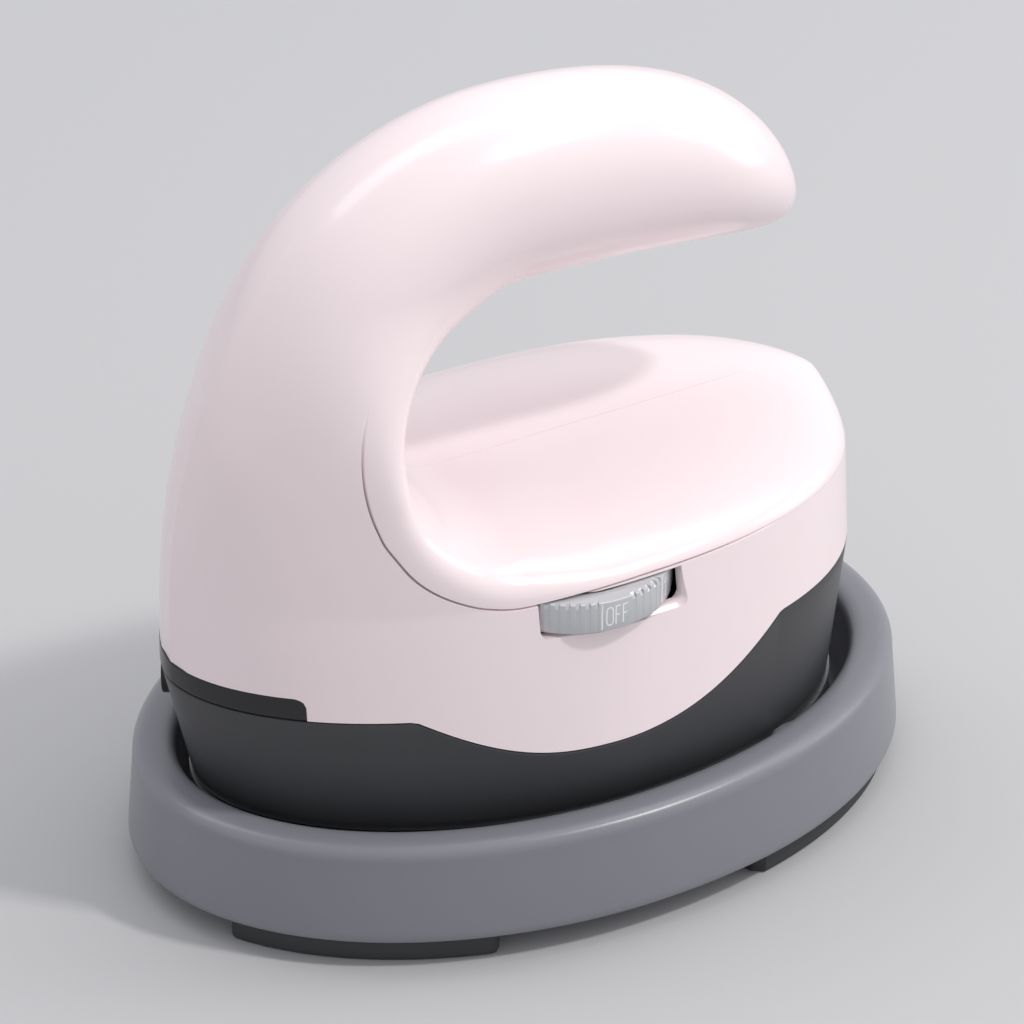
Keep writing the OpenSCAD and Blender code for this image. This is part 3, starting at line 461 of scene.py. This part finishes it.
def buildShells():
    s = bosses
    for name, side, node in (("shellLeft", 1, "shell_left"), ("shellRight", -1, "shell_right")):
        piece = halfShell(name, side)
        cut(piece, bossTool(side, s["r"], 0), "UNION")
        if side > 0:
            cut(piece, bossTool(side, s["screwR"], -1, 30))
            cut(piece, bossTool(side, s["recessR"], s["seat"], 40))
        else:
            cut(piece, bossTool(side, s["screwR"], -1, s["pilot"]))
            cut(piece, slotTool())
            pocket = tube((wheel["x"], wheel["y"], 0), (0, 0, 1), wheel["r"] + slot["wheelGap"],
                          slot["low"], slot["high"], 128)
            cut(piece, makeMesh("wheelTool", *pocket))
        cut(piece, stripTool())
        reshade(piece, 32)
        seat(piece, "press", "shell", node)
        print("shell", name, len(piece.data.polygons))


def buildStrip():
    s = strip
    p, f = stripSolid(s["proud"], s["inside"], s["half"], body["partRear"] + s["clear"],
                      body["partRear"] + s["height"], s["corner"], s["edge"])
    piece = makeMesh("cordOutletCover", p, f, 50)
    fixNormals(piece)
    seat(piece, "press", "black_gloss", "cord_outlet_cover")
    print("cord outlet cover")


# lower housing

housing = dict(wall=2.4, gap=0.2, lipIn=2.7, lipT=1.3, lipH=2.2, lipChamfer=0.3, ledgeW=2.6, ledgeT=2.0,
               edge=0.35, steps=520, bossAngles=(30, 150, 210, 330), bossInset=5.2, bossR=3.2, bossDeep=5,
               holeR=1.45, holeDeep=4.4, cordY=14, cordZ=36.4, cordTurn=35, cordR=5.15)


def outlineRing(inset, z, steps):
    # the egg outline at height z, moved in by the inset
    t = np.linspace(0, 2 * np.pi, steps, endpoint=False)
    x, y = eggPoint(t, bodyRear(z) - inset, bodyFront(z) - inset, bodySide(z) - inset,
                    egg["rearN"], egg["frontN"])
    return np.stack([x, y, np.full_like(x, z)], 1)


def partingRing(inset, rise, steps):
    # the outline along the parting line, raised by the rise; y uses the half width at each point's height
    t = np.linspace(0, 2 * np.pi, steps, endpoint=False)
    x, _ = eggPoint(t, bodyRear(body["partRear"]) - inset, bodyFront(body["partFront"]) - inset, 1,
                    egg["rearN"], egg["frontN"])
    z = parting(x)
    n = np.where(x < egg["x"], egg["rearN"], egg["frontN"])
    return np.stack([x, (bodySide(z) - inset) * spow(np.sin(t), 2 / n), z + rise], 1)


def buildHousing():
    # one closed section of rings: skirt, wall up to the parting line, lip, wall down, ledge, and back
    h = housing
    n, e, g, skirt = h["steps"], h["edge"], h["gap"], body["skirtZ"]
    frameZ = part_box("inner_frame")[0][2] / mm
    wallLow, wallTop = outlineRing(0, skirt + e, n), partingRing(0, -g - e, n)
    rings = [outlineRing(e, skirt, n), outlineRing(e * 0.3, skirt + e * 0.3, n), wallLow]
    rings += [mix(wallLow, wallTop, k / 12) for k in range(1, 12)]
    rings += [wallTop, partingRing(e * 0.3, -g - e * 0.3, n), partingRing(e, -g, n)]
    lipTop = partingRing(h["lipIn"] + h["lipT"], h["lipH"], n)
    rings += [partingRing(h["lipIn"], -g, n), partingRing(h["lipIn"], h["lipH"] - h["lipChamfer"], n),
              partingRing(h["lipIn"] + h["lipChamfer"], h["lipH"], n), lipTop]
    foot = outlineRing(h["wall"], frameZ + 1, n)
    ledge, ledgeZ = h["wall"] + h["ledgeW"], frameZ - h["ledgeT"]
    rings += [mix(lipTop, foot, k / 6) for k in range(1, 6)] + [foot]
    rings += [outlineRing(h["wall"], frameZ, n), outlineRing(ledge, frameZ, n),
              outlineRing(ledge, ledgeZ, n), outlineRing(h["wall"], ledgeZ, n), outlineRing(h["wall"], skirt, n)]
    piece = makeMesh("lowerHousing", *ringSolid(np.stack(rings)))
    fixNormals(piece)
    inset = h["bossInset"]
    x, y = eggPoint(np.radians(h["bossAngles"]), bodyRear(frameZ) - inset, bodyFront(frameZ) - inset,
                    bodySide(frameZ) - inset, egg["rearN"], egg["frontN"])
    bars = lambda r, low, high: join([tube((a, b, 0), (0, 0, 1), r, low, high) for a, b in zip(x, y)])
    cut(piece, makeMesh("bossTool", *bars(h["bossR"], frameZ - h["bossDeep"], frameZ)), "UNION")
    cut(piece, makeMesh("holeTool", *bars(h["holeR"], frameZ - h["holeDeep"], frameZ + 2)))
    turn = math.radians(h["cordTurn"])
    share = (1 - (h["cordY"] / bodySide(h["cordZ"])) ** egg["rearN"]) ** (1 / egg["rearN"])
    cordX = egg["x"] - bodyRear(h["cordZ"]) * share
    cordBar = tube((cordX, h["cordY"], h["cordZ"]), (-math.cos(turn), math.sin(turn), 0), h["cordR"], -8, 4)
    cut(piece, makeMesh("cordTool", *cordBar))
    reshade(piece, 30)
    seat(piece, "press", "housing", "lower_housing")
    print("lower housing", len(piece.data.polygons))


# rest tray and feet

tray = dict(length=142.8, width=99.8, foot=4.5, height=18.5, wall=7.6, floor=3.5, draft=1.2, rim=3.2,
            steps=640, middle=34.0, rimN=0.72, nubAngles=(62, 298), nubProud=0.9, nubWide=1.9, nubReach=46,
            footDeep=10.0, footInset=2, footRound=0.9, footEnd=1.6)


def trayRing(inset, z, t):
    # the tray's egg outline at height z, moved in by the inset
    half = tray["length"] / 2
    return eggPoint(t, half + egg["x"] - inset, half - egg["x"] - inset, tray["width"] / 2 - inset,
                    egg["trayRearN"], egg["trayFrontN"]) + (z + 0 * t,)


def trayProfile(top, floorZ):
    # inset and height, from the middle of the underside out, up, over the rim, down and back to the middle
    s = tray
    foot, draft, wall, rimZ = s["foot"], s["draft"], s["wall"], top - s["rim"]
    profile = [(s["middle"], foot), (6.0, foot), (1.6, foot), (0.9, foot + 0.15), (0.35, foot + 0.55),
               (0.08, foot + 1.2), (0.12, foot + 2.2)]
    profile += [(draft * k / 6 + 0.1 * (1 - k / 6), mix(foot + 2.2, rimZ, k / 6)) for k in range(1, 7)]
    profile += [(draft + wall / 2 - wall / 2 * spow(math.cos(v), s["rimN"]),
                 rimZ + s["rim"] * math.sin(v) ** s["rimN"]) for v in np.radians(np.arange(6, 180, 6))]
    inner = draft + wall
    profile += [(inner, rimZ), (inner + 0.4, mix(rimZ, floorZ, 0.33)), (inner + 0.8, mix(rimZ, floorZ, 0.66)),
                (inner + 1.2, floorZ + 2.2), (inner + 1.6, floorZ + 0.9), (inner + 2.6, floorZ + 0.2),
                (inner + 4, floorZ), (s["middle"], floorZ)]
    return profile


def buildTray():
    # the profile carried round the egg outline, with two bumps, exp(-(arc / width)^4), on the inner wall
    s = tray
    top, floorZ = s["foot"] + s["height"], s["foot"] + s["floor"]
    t = np.linspace(0, 2 * np.pi, s["steps"], endpoint=False)
    arc = lambda deg: np.angle(np.exp(1j * (t - math.radians(deg)))) * s["nubReach"]
    bump = sum(np.exp(-(arc(deg) / s["nubWide"]) ** 4) for deg in s["nubAngles"])
    rings = []
    for inset, z in trayProfile(top, floorZ):
        inside = ramp(inset, s["draft"] + s["wall"] * 0.62, s["wall"] * 0.38) * (z > floorZ + 1)
        lift = s["nubProud"] * bump * inside * smooth((top - 0.3 - z) / 1.2)
        rings.append(np.stack(trayRing(inset + lift, z, t), 1))
    piece = makeMesh("baseTray", *ringSolid(np.stack(rings), False), 40)
    fixNormals(piece)
    seat(piece, "tray", "tray", "base_tray")
    print("base tray", len(piece.data.polygons))


def footSolid(a0, a1):
    # a rounded-rectangle section carried along the tray's outline; the section shrinks at both rounded ends
    s = tray
    n = 90
    along = np.linspace(0, 1, n)
    t = np.radians(mix(a0, a1, smooth(along) * 0.25 + along * 0.75))
    u = np.linspace(0, 2 * np.pi, 48, endpoint=False)
    deep, end, far = s["footDeep"], s["footEnd"], 99
    ex, ez = roundedBox(u, deep / 2, s["foot"] / 2, s["footRound"], far)
    ez = np.where(ez > 0, np.clip(np.sin(u) * far, 0, s["foot"] / 2), ez)
    x0, y0, _ = trayRing(s["footInset"], 0, t)
    way = np.concatenate([[0], np.cumsum(np.hypot(np.diff(x0), np.diff(y0)))])
    gap = np.minimum(way, way[-1] - way)
    shrink = end - np.sqrt(np.clip(end ** 2 - np.clip(end - gap, 0, end) ** 2, 0, None))
    rings = []
    for k in range(n):
        inset = s["footInset"] + deep / 2 - ex * (1 - shrink[k] / (deep / 2))
        z = s["foot"] / 2 + np.where(ez < 0, ez * (1 - shrink[k] * 0.25 / s["foot"]), ez)
        rings.append(np.stack(trayRing(inset, z, np.full_like(u, t[k])), 1))
    return ringSolid(np.stack(rings), False)


def buildFeet():
    for name, node, a0, a1 in (("frontFoot", "front_foot", -74, 74),
                               ("rearFootLeft", "rear_foot_left", 115, 160),
                               ("rearFootRight", "rear_foot_right", 200, 245)):
        piece = makeMesh(name, *footSolid(a0, a1), 40)
        fixNormals(piece)
        seat(piece, "tray", "foot", node)
    print("feet")


# thumbwheel

wheel = dict(x=-2.7, y=-23.306, z0=55.3, thick=5.6, r=17.0, bore=3.06, hub=6.0, rimIn=14.0, web=1.8,
             notch=0.62, pitch=5.7, flute=0.05, tick=-103.0, step=45.0, pad=(-1.8, 18.5),
             labels=("OFF", "1", "2", "3"), letterHigh=3.45, letterWide=1.15, letterGap=0.5,
             letterStart=0.8, stroke=0.24, tickWide=0.26, proud=0.03, sunk=0.1, edge=0.25, steps=2520)
# each sign as strokes on a unit square
strokes = {
    "O": [[(0.5, 0), (0.15, 0.05), (0, 0.2), (0, 0.8), (0.15, 0.95), (0.5, 1), (0.85, 0.95), (1, 0.8),
           (1, 0.2), (0.85, 0.05), (0.5, 0)]],
    "F": [[(0, 0), (0, 1), (0.75, 1)], [(0, 0.52), (0.6, 0.52)]],
    "1": [[(0.15, 0.78), (0.6, 1), (0.6, 0)]],
    "2": [[(0, 0.8), (0.12, 0.95), (0.5, 1), (0.88, 0.95), (1, 0.78), (0.95, 0.6), (0, 0), (1, 0)]],
    "3": [[(0, 0.92), (0.5, 1), (0.9, 0.92), (1, 0.76), (0.85, 0.58), (0.4, 0.53), (0.85, 0.46), (1, 0.26),
           (0.9, 0.08), (0.5, 0), (0, 0.08)]],
}


def toothShare(deg):
    # 1 where the rim is notched; 0 on the smooth pads that carry the labels
    s = wheel
    share = np.ones_like(deg)
    for k in range(len(s["labels"])):
        off = (deg - s["tick"] - s["step"] * k + 180) % 360 - 180
        share = np.where((off > s["pad"][0]) & (off < s["pad"][1]), 0, share)
    return share


def buildWheel():
    # notches are chamfers cut in the top edge; the face below only has shallow flutes
    s = wheel
    deg = np.linspace(0, 360, s["steps"], endpoint=False)
    wave = np.cos(np.radians((deg - s["tick"] - 10) * 360 / s["pitch"]))
    cutIn = toothShare(deg) * smooth((wave + 0.1) / 0.35)
    top, low, e, r0 = s["z0"] + s["thick"], s["z0"], s["edge"], s["r"]
    deep, thin, bore, hub, rimIn, web = s["notch"], s["flute"], s["bore"], s["hub"], s["rimIn"], top - s["web"]
    # radius, height, how far a notch takes the radius in, and how far it takes the height down
    profile = [(bore, top - 0.2, 0, 0), (3.2, top, 0, 0), (hub, top, 0, 0), (6.2, top - 0.35, 0, 0),
               (13.2, top - 0.35, 0, 0), (13.5, top, 0, 0), (r0 - 1.0, top, 0, 0), (r0 - e, top, deep, 0),
               (r0 - e * 0.3, top - e * 0.3, deep * 0.5, deep * 0.5), (r0, top - e, thin, deep),
               (r0, mix(top, low, 0.5), thin, 0), (r0, low + e, thin, 0), (r0 - e * 0.3, low + e * 0.3, thin, 0),
               (r0 - e, low, thin, 0), (rimIn, low, 0, 0), (rimIn, web, 0, 0), (hub, web, 0, 0),
               (hub, low, 0, 0), (bore, low, 0, 0)]
    t = np.radians(deg)
    rings = [np.stack([s["x"] + (r - cutIn * inward) * np.cos(t), s["y"] + (r - cutIn * inward) * np.sin(t),
                       z - cutIn * down], 1) for r, z, inward, down in profile]
    piece = makeMesh("thumbwheelRim", *ringSolid(np.stack(rings)), 28)
    fixNormals(piece)
    seat(piece, "dial", "wheel", "thumbwheel")
    print("thumbwheel", len(piece.data.polygons))
    for k, word in enumerate(s["labels"]):
        buildLabel("label" + word, word, s["tick"] + s["step"] * k)


def ribbon(path, width):
    # a flat stroke along a path: both sides stand off by half the width, mitred at the corners
    p = np.array(path, float)
    closed = np.allclose(p[0], p[-1])
    p = p[:-1] if closed else p
    after = np.roll(p, -1, 0) - p
    before = p - np.roll(p, 1, 0)
    if not closed:
        after[-1], before[0] = before[-1], after[0]
    unit = lambda v: v / np.linalg.norm(v, axis=1)[:, None]
    along = unit(unit(after) + unit(before))
    out = np.stack([-along[:, 1], along[:, 0]], 1)
    lean = np.clip((unit(after) * along).sum(1), 0.5, 1)[:, None]
    return p + out * width / 2 / lean, p - out * width / 2 / lean, closed


def wrapRound(points, start, rise):
    # a flat drawing, x along the rim and y up, wrapped on the rim's cylinder
    s = wheel
    ang = np.radians(start) + points[:, 0] / s["r"]
    r = s["r"] + rise
    return np.stack([s["x"] + r * np.cos(ang), s["y"] + r * np.sin(ang), points[:, 1]], 1)


def buildLabel(name, word, start):
    # a tick, then the word's strokes, each a thin ribbon half sunk in the rim
    s = wheel
    low = s["z0"] + (s["thick"] - s["letterHigh"]) / 2
    paths = [[(0, s["z0"] + 0.5), (0, s["z0"] + s["thick"] - 0.3)]]
    cursor = s["letterStart"]
    for sign in word:
        paths += [[(cursor + x * s["letterWide"], low + y * s["letterHigh"]) for x, y in path]
                  for path in strokes[sign]]
        cursor += max(x for path in strokes[sign] for x, y in path) * s["letterWide"] + s["letterGap"]
    blocks = []
    for k, path in enumerate(paths):
        left, right, closed = ribbon(path, s["stroke"] if k else s["tickWide"])
        corners = ((left, s["proud"]), (right, s["proud"]), (right, -s["sunk"]), (left, -s["sunk"]))
        rings = np.stack([wrapRound(side, start, rise) for side, rise in corners], 1)
        blocks.append(ringSolid(rings, closed))
    piece = makeMesh(name, *join(blocks))
    fixNormals(piece)
    seat(piece, "dial", "wheel")


# materials

def groupNode(tree, name, **values):
    # a shared group placed in a material with its own values
    node = tree.nodes.new("ShaderNodeGroup")
    node.node_tree = bpy.data.node_groups[name]
    for k, v in values.items():
        node.inputs[k].default_value = v
    return node


def newGroup(name, inputs, outputs):
    g = bpy.data.node_groups.new(name, "ShaderNodeTree")
    for n, kind, v in inputs:
        s = g.interface.new_socket(n, in_out="INPUT", socket_type=kind)
        s.default_value = v
    for n, kind in outputs:
        g.interface.new_socket(n, in_out="OUTPUT", socket_type=kind)
    return g, g.nodes.new("NodeGroupInput"), g.nodes.new("NodeGroupOutput")


def mathNode(tree, operation, a, b=None, c=None):
    # each input is a number or another node's output
    node = tree.nodes.new("ShaderNodeMath")
    node.operation = operation
    for k, v in enumerate((a, b, c)):
        if v is None:
            continue
        if hasattr(v, "is_linked"):
            tree.links.new(v, node.inputs[k])
        else:
            node.inputs[k].default_value = v
    return node.outputs[0]


def shadeGroup(g, i, o, noise, amount, roughAmount):
    # colour * (1 + (noise - 0.5) * amount), roughness + (noise - 0.5) * its own amount
    centred = mathNode(g, "SUBTRACT", noise.outputs["Fac"], 0.5)
    scaleColor = g.nodes.new("ShaderNodeVectorMath")
    scaleColor.operation = "SCALE"
    g.links.new(i.outputs["Color"], scaleColor.inputs[0])
    g.links.new(mathNode(g, "MULTIPLY_ADD", centred, i.outputs[amount], 1.0), scaleColor.inputs["Scale"])
    g.links.new(scaleColor.outputs[0], o.inputs["Color"])
    rough = mathNode(g, "MULTIPLY_ADD", centred, roughAmount, i.outputs["Roughness"])
    g.links.new(rough, o.inputs["Roughness"])


def buildGroups():
    color, number, vector = "NodeSocketColor", "NodeSocketFloat", "NodeSocketVector"
    results = [("Color", color), ("Roughness", number), ("Height", number)]
    # mouldedGrain: a fine noise height, a colour that drifts slightly, and a roughness that varies with it
    g, i, o = newGroup("mouldedGrain", [("Color", color, (0.5, 0.5, 0.5, 1)), ("Scale", number, 900.0),
                                        ("Drift", number, 0.06), ("Roughness", number, 0.5),
                                        ("Roughness Drift", number, 0.1)], results)
    coord = g.nodes.new("ShaderNodeTexCoord")
    fine = g.nodes.new("ShaderNodeTexNoise")
    fine.inputs["Detail"].default_value = 3
    slow = g.nodes.new("ShaderNodeTexNoise")
    slow.inputs["Scale"].default_value = 26
    slow.inputs["Detail"].default_value = 4
    g.links.new(coord.outputs["Object"], fine.inputs["Vector"])
    g.links.new(coord.outputs["Object"], slow.inputs["Vector"])
    g.links.new(i.outputs["Scale"], fine.inputs["Scale"])
    shadeGroup(g, i, o, slow, "Drift", i.outputs["Roughness Drift"])
    g.links.new(fine.outputs["Fac"], o.inputs["Height"])
    # brushedLines: noise stretched along one axis for rolled or turned metal
    g, i, o = newGroup("brushedLines", [("Color", color, (0.6, 0.6, 0.6, 1)),
                                        ("Stretch", vector, (60.0, 900.0, 900.0)),
                                        ("Roughness", number, 0.3), ("Depth", number, 0.15)], results)
    coord = g.nodes.new("ShaderNodeTexCoord")
    stretch = g.nodes.new("ShaderNodeVectorMath")
    stretch.operation = "MULTIPLY"
    lines = g.nodes.new("ShaderNodeTexNoise")
    lines.inputs["Scale"].default_value = 1
    lines.inputs["Detail"].default_value = 2
    g.links.new(coord.outputs["Object"], stretch.inputs[0])
    g.links.new(i.outputs["Stretch"], stretch.inputs[1])
    g.links.new(stretch.outputs[0], lines.inputs["Vector"])
    shadeGroup(g, i, o, lines, "Depth", 0.3)
    g.links.new(lines.outputs["Fac"], o.inputs["Height"])


finishes = {
    # slot: kind, colour, roughness, grain scale or stretch, bump, metallic, coat
    "shell": ("grain", (0.86, 0.74, 0.755), 0.22, 1400, 0.004, 0, 0.25),
    "tray": ("grain", (0.215, 0.218, 0.243), 0.30, 1600, 0.05, 0, 0),
    "mat": ("grain", (0.05, 0.05, 0.055), 0.7, 1200, 0.05, 0, 0),
    "foot": ("grain", (0.034, 0.035, 0.038), 0.6, 1500, 0.05, 0, 0),
    "housing": ("grain", (0.040, 0.041, 0.045), 0.40, 1500, 0.03, 0, 0),
    "black_gloss": ("grain", (0.008, 0.008, 0.009), 0.22, 1200, 0.004, 0, 0),
    "black_rubber": ("grain", (0.012, 0.012, 0.013), 0.55, 1500, 0.05, 0, 0),
    "frame": ("grain", (0.32, 0.27, 0.20), 0.55, 1300, 0.05, 0, 0),
    "ceramic": ("grain", (0.72, 0.69, 0.62), 0.6, 1500, 0.05, 0, 0),
    "felt": ("grain", (0.62, 0.59, 0.49), 0.95, 700, 0.5, 0, 0),
    "sensor": ("grain", (0.03, 0.03, 0.035), 0.5, 1500, 0.05, 0, 0),
    "board": ("grain", (0.012, 0.10, 0.035), 0.35, 1500, 0.02, 0, 0.2),
    "relay": ("grain", (0.015, 0.065, 0.21), 0.45, 1500, 0.03, 0, 0),
    "capacitor": ("grain", (0.012, 0.014, 0.06), 0.35, 1500, 0.02, 0, 0),
    "terminal": ("grain", (0.02, 0.15, 0.04), 0.5, 1500, 0.04, 0, 0),
    "switch": ("grain", (0.012, 0.012, 0.014), 0.45, 1500, 0.04, 0, 0),
    "fuse_glass": ("grain", (0.55, 0.58, 0.60), 0.15, 1500, 0, 0.2, 0.3),
    "plate": ("brush", (0.30, 0.305, 0.32), 0.42, (40, 1100, 1100), 0.05, 0.85, 0),
    "screw": ("brush", (0.55, 0.55, 0.57), 0.35, (500, 500, 200), 0.05, 1, 0),
    "element": ("brush", (0.16, 0.155, 0.15), 0.5, (60, 900, 900), 0.05, 1, 0),
    "strap": ("brush", (0.56, 0.57, 0.60), 0.32, (900, 60, 900), 0.05, 1, 0),
    "sheet": ("brush", (0.62, 0.63, 0.66), 0.28, (30, 900, 900), 0.05, 1, 0),
    "fuse_link": ("brush", (0.60, 0.48, 0.22), 0.3, (900, 60, 900), 0.05, 1, 0),
    "contact": ("brush", (0.60, 0.47, 0.20), 0.3, (900, 60, 900), 0.05, 1, 0),
    "shaft": ("brush", (0.62, 0.62, 0.64), 0.25, (900, 900, 60), 0.05, 1, 0),
    "wheel": ("grain", (0.55, 0.56, 0.575), 0.30, 1500, 0.01, 0.3, 0),
}


def makeFinish(name, kind, color, rough, scale, bump, metallic, coat):
    # a Principled material fed by one of the two groups
    m = bpy.data.materials.new(name)
    m.use_nodes = True
    tree = m.node_tree
    shader = tree.nodes["Principled BSDF"]
    shader.inputs["Metallic"].default_value = metallic
    shader.inputs["Coat Weight"].default_value = coat
    shader.inputs["Coat Roughness"].default_value = 0.08
    if kind == "grain":
        g = groupNode(tree, "mouldedGrain", Color=(*color, 1), Scale=scale, Roughness=rough)
        g.inputs["Drift"].default_value = 0.05
        g.inputs["Roughness Drift"].default_value = rough * 0.25
    else:
        g = groupNode(tree, "brushedLines", Color=(*color, 1), Stretch=scale, Roughness=rough)
    tree.links.new(g.outputs["Color"], shader.inputs["Base Color"])
    tree.links.new(g.outputs["Roughness"], shader.inputs["Roughness"])
    if bump:
        b = tree.nodes.new("ShaderNodeBump")
        b.inputs["Strength"].default_value = bump
        b.inputs["Distance"].default_value = 0.0002
        tree.links.new(g.outputs["Height"], b.inputs["Height"])
        tree.links.new(b.outputs["Normal"], shader.inputs["Normal"])
    return m


def paint(piece, material):
    piece.data.materials.clear()
    piece.data.materials.append(material)


def paintAll():
    # CAD nodes take the finish of their own slot, the new pieces take theirs by name
    made = {k: makeFinish(k + "Finish", *v) for k, v in finishes.items()}
    white = makeFinish("labelFinish", "grain", (0.86, 0.86, 0.86), 0.4, 1500, 0, 0, 0)
    slots = {s["node"]: s["material_slot"] for s in frame["record"]["subparts"]}
    for node, o in frame["nodes"].items():
        for k in range(len(o.material_slots)):
            o.material_slots[k].material = made[slots[node]]
        if not o.material_slots:
            o.data.materials.append(made[slots[node]])
    for name, slotName in (("shellLeft", "shell"), ("shellRight", "shell"), ("lowerHousing", "housing"),
                           ("cordOutletCover", "black_gloss"), ("baseTray", "tray"), ("frontFoot", "foot"),
                           ("rearFootLeft", "foot"), ("rearFootRight", "foot"), ("thumbwheelRim", "wheel")):
        paint(bpy.data.objects[name], made[slotName])
    for word in wheel["labels"]:
        paint(bpy.data.objects["label" + word], white)
    print("materials")


# floor, lights and camera

studio = dict(camera=(-0.4255, -0.7268, 0.5754), aim=(0.0122, 0.0215, 0.0400), lens=204.7, sensor=36,
              clip=(0.05, 20), floor=3.0, floorColor=(0.48, 0.48, 0.49, 1), floorRough=0.8,
              sky=(0.95, 0.96, 1, 1), skyStrength=0.72, lit=(0, 0, 0.06),
              # place, size, power and colour of each light
              lights=dict(keyBox=((0.62, -0.60, 1.30), (0.12, 0.12), 9, (1, 0.985, 0.96)),
                          sideBox=((1.0, -0.35, 0.45), (0.5, 0.7), 2.2, (1, 1, 1)),
                          longBox=((0.15, 0.30, 1.22), (2.2, 0.34), 5.8, (1, 1, 1))))


def addAimed(name, data, place, aim):
    # an object at a place, turned so that its -Z looks at the aim
    o = bpy.data.objects.new(name, data)
    o.location = place
    o.rotation_mode = "QUATERNION"
    o.rotation_quaternion = (Vector(aim) - Vector(place)).to_track_quat("-Z", "Y")
    bpy.context.scene.collection.objects.link(o)
    return o


def areaLight(name, place, size, power, color):
    data = bpy.data.lights.new(name, "AREA")
    data.shape = "RECTANGLE"
    data.size, data.size_y = size
    data.energy = power
    data.color = color
    addAimed(name, data, place, studio["lit"])


def buildStudio():
    s = studio
    n = s["floor"] / mm
    plane = makeMesh("floor", [[-n, -n, 0], [n, -n, 0], [n, n, 0], [-n, n, 0]], [[0, 1, 2, 3]])
    m = bpy.data.materials.new("paleFloor")
    m.use_nodes = True
    shader = m.node_tree.nodes["Principled BSDF"]
    shader.inputs["Base Color"].default_value = s["floorColor"]
    shader.inputs["Roughness"].default_value = s["floorRough"]
    plane.data.materials.append(m)
    world = bpy.data.worlds.new("studio")
    bpy.context.scene.world = world
    world.use_nodes = True
    background = world.node_tree.nodes["Background"]
    background.inputs["Color"].default_value = s["sky"]
    background.inputs["Strength"].default_value = s["skyStrength"]
    for name, settings in s["lights"].items():
        areaLight(name, *settings)
    cam = bpy.data.cameras.new("camera")
    cam.lens = s["lens"]
    cam.sensor_width = s["sensor"]
    cam.clip_start, cam.clip_end = s["clip"]
    bpy.context.scene.camera = addAimed("camera", cam, s["camera"], s["aim"])
    bpy.context.scene.view_settings.view_transform = "Standard"  # keeps the pale body's tones apart
    print("studio")


buildStudio()
buildShells()
buildStrip()
buildHousing()
buildTray()
buildFeet()
buildWheel()
buildGroups()
paintAll()
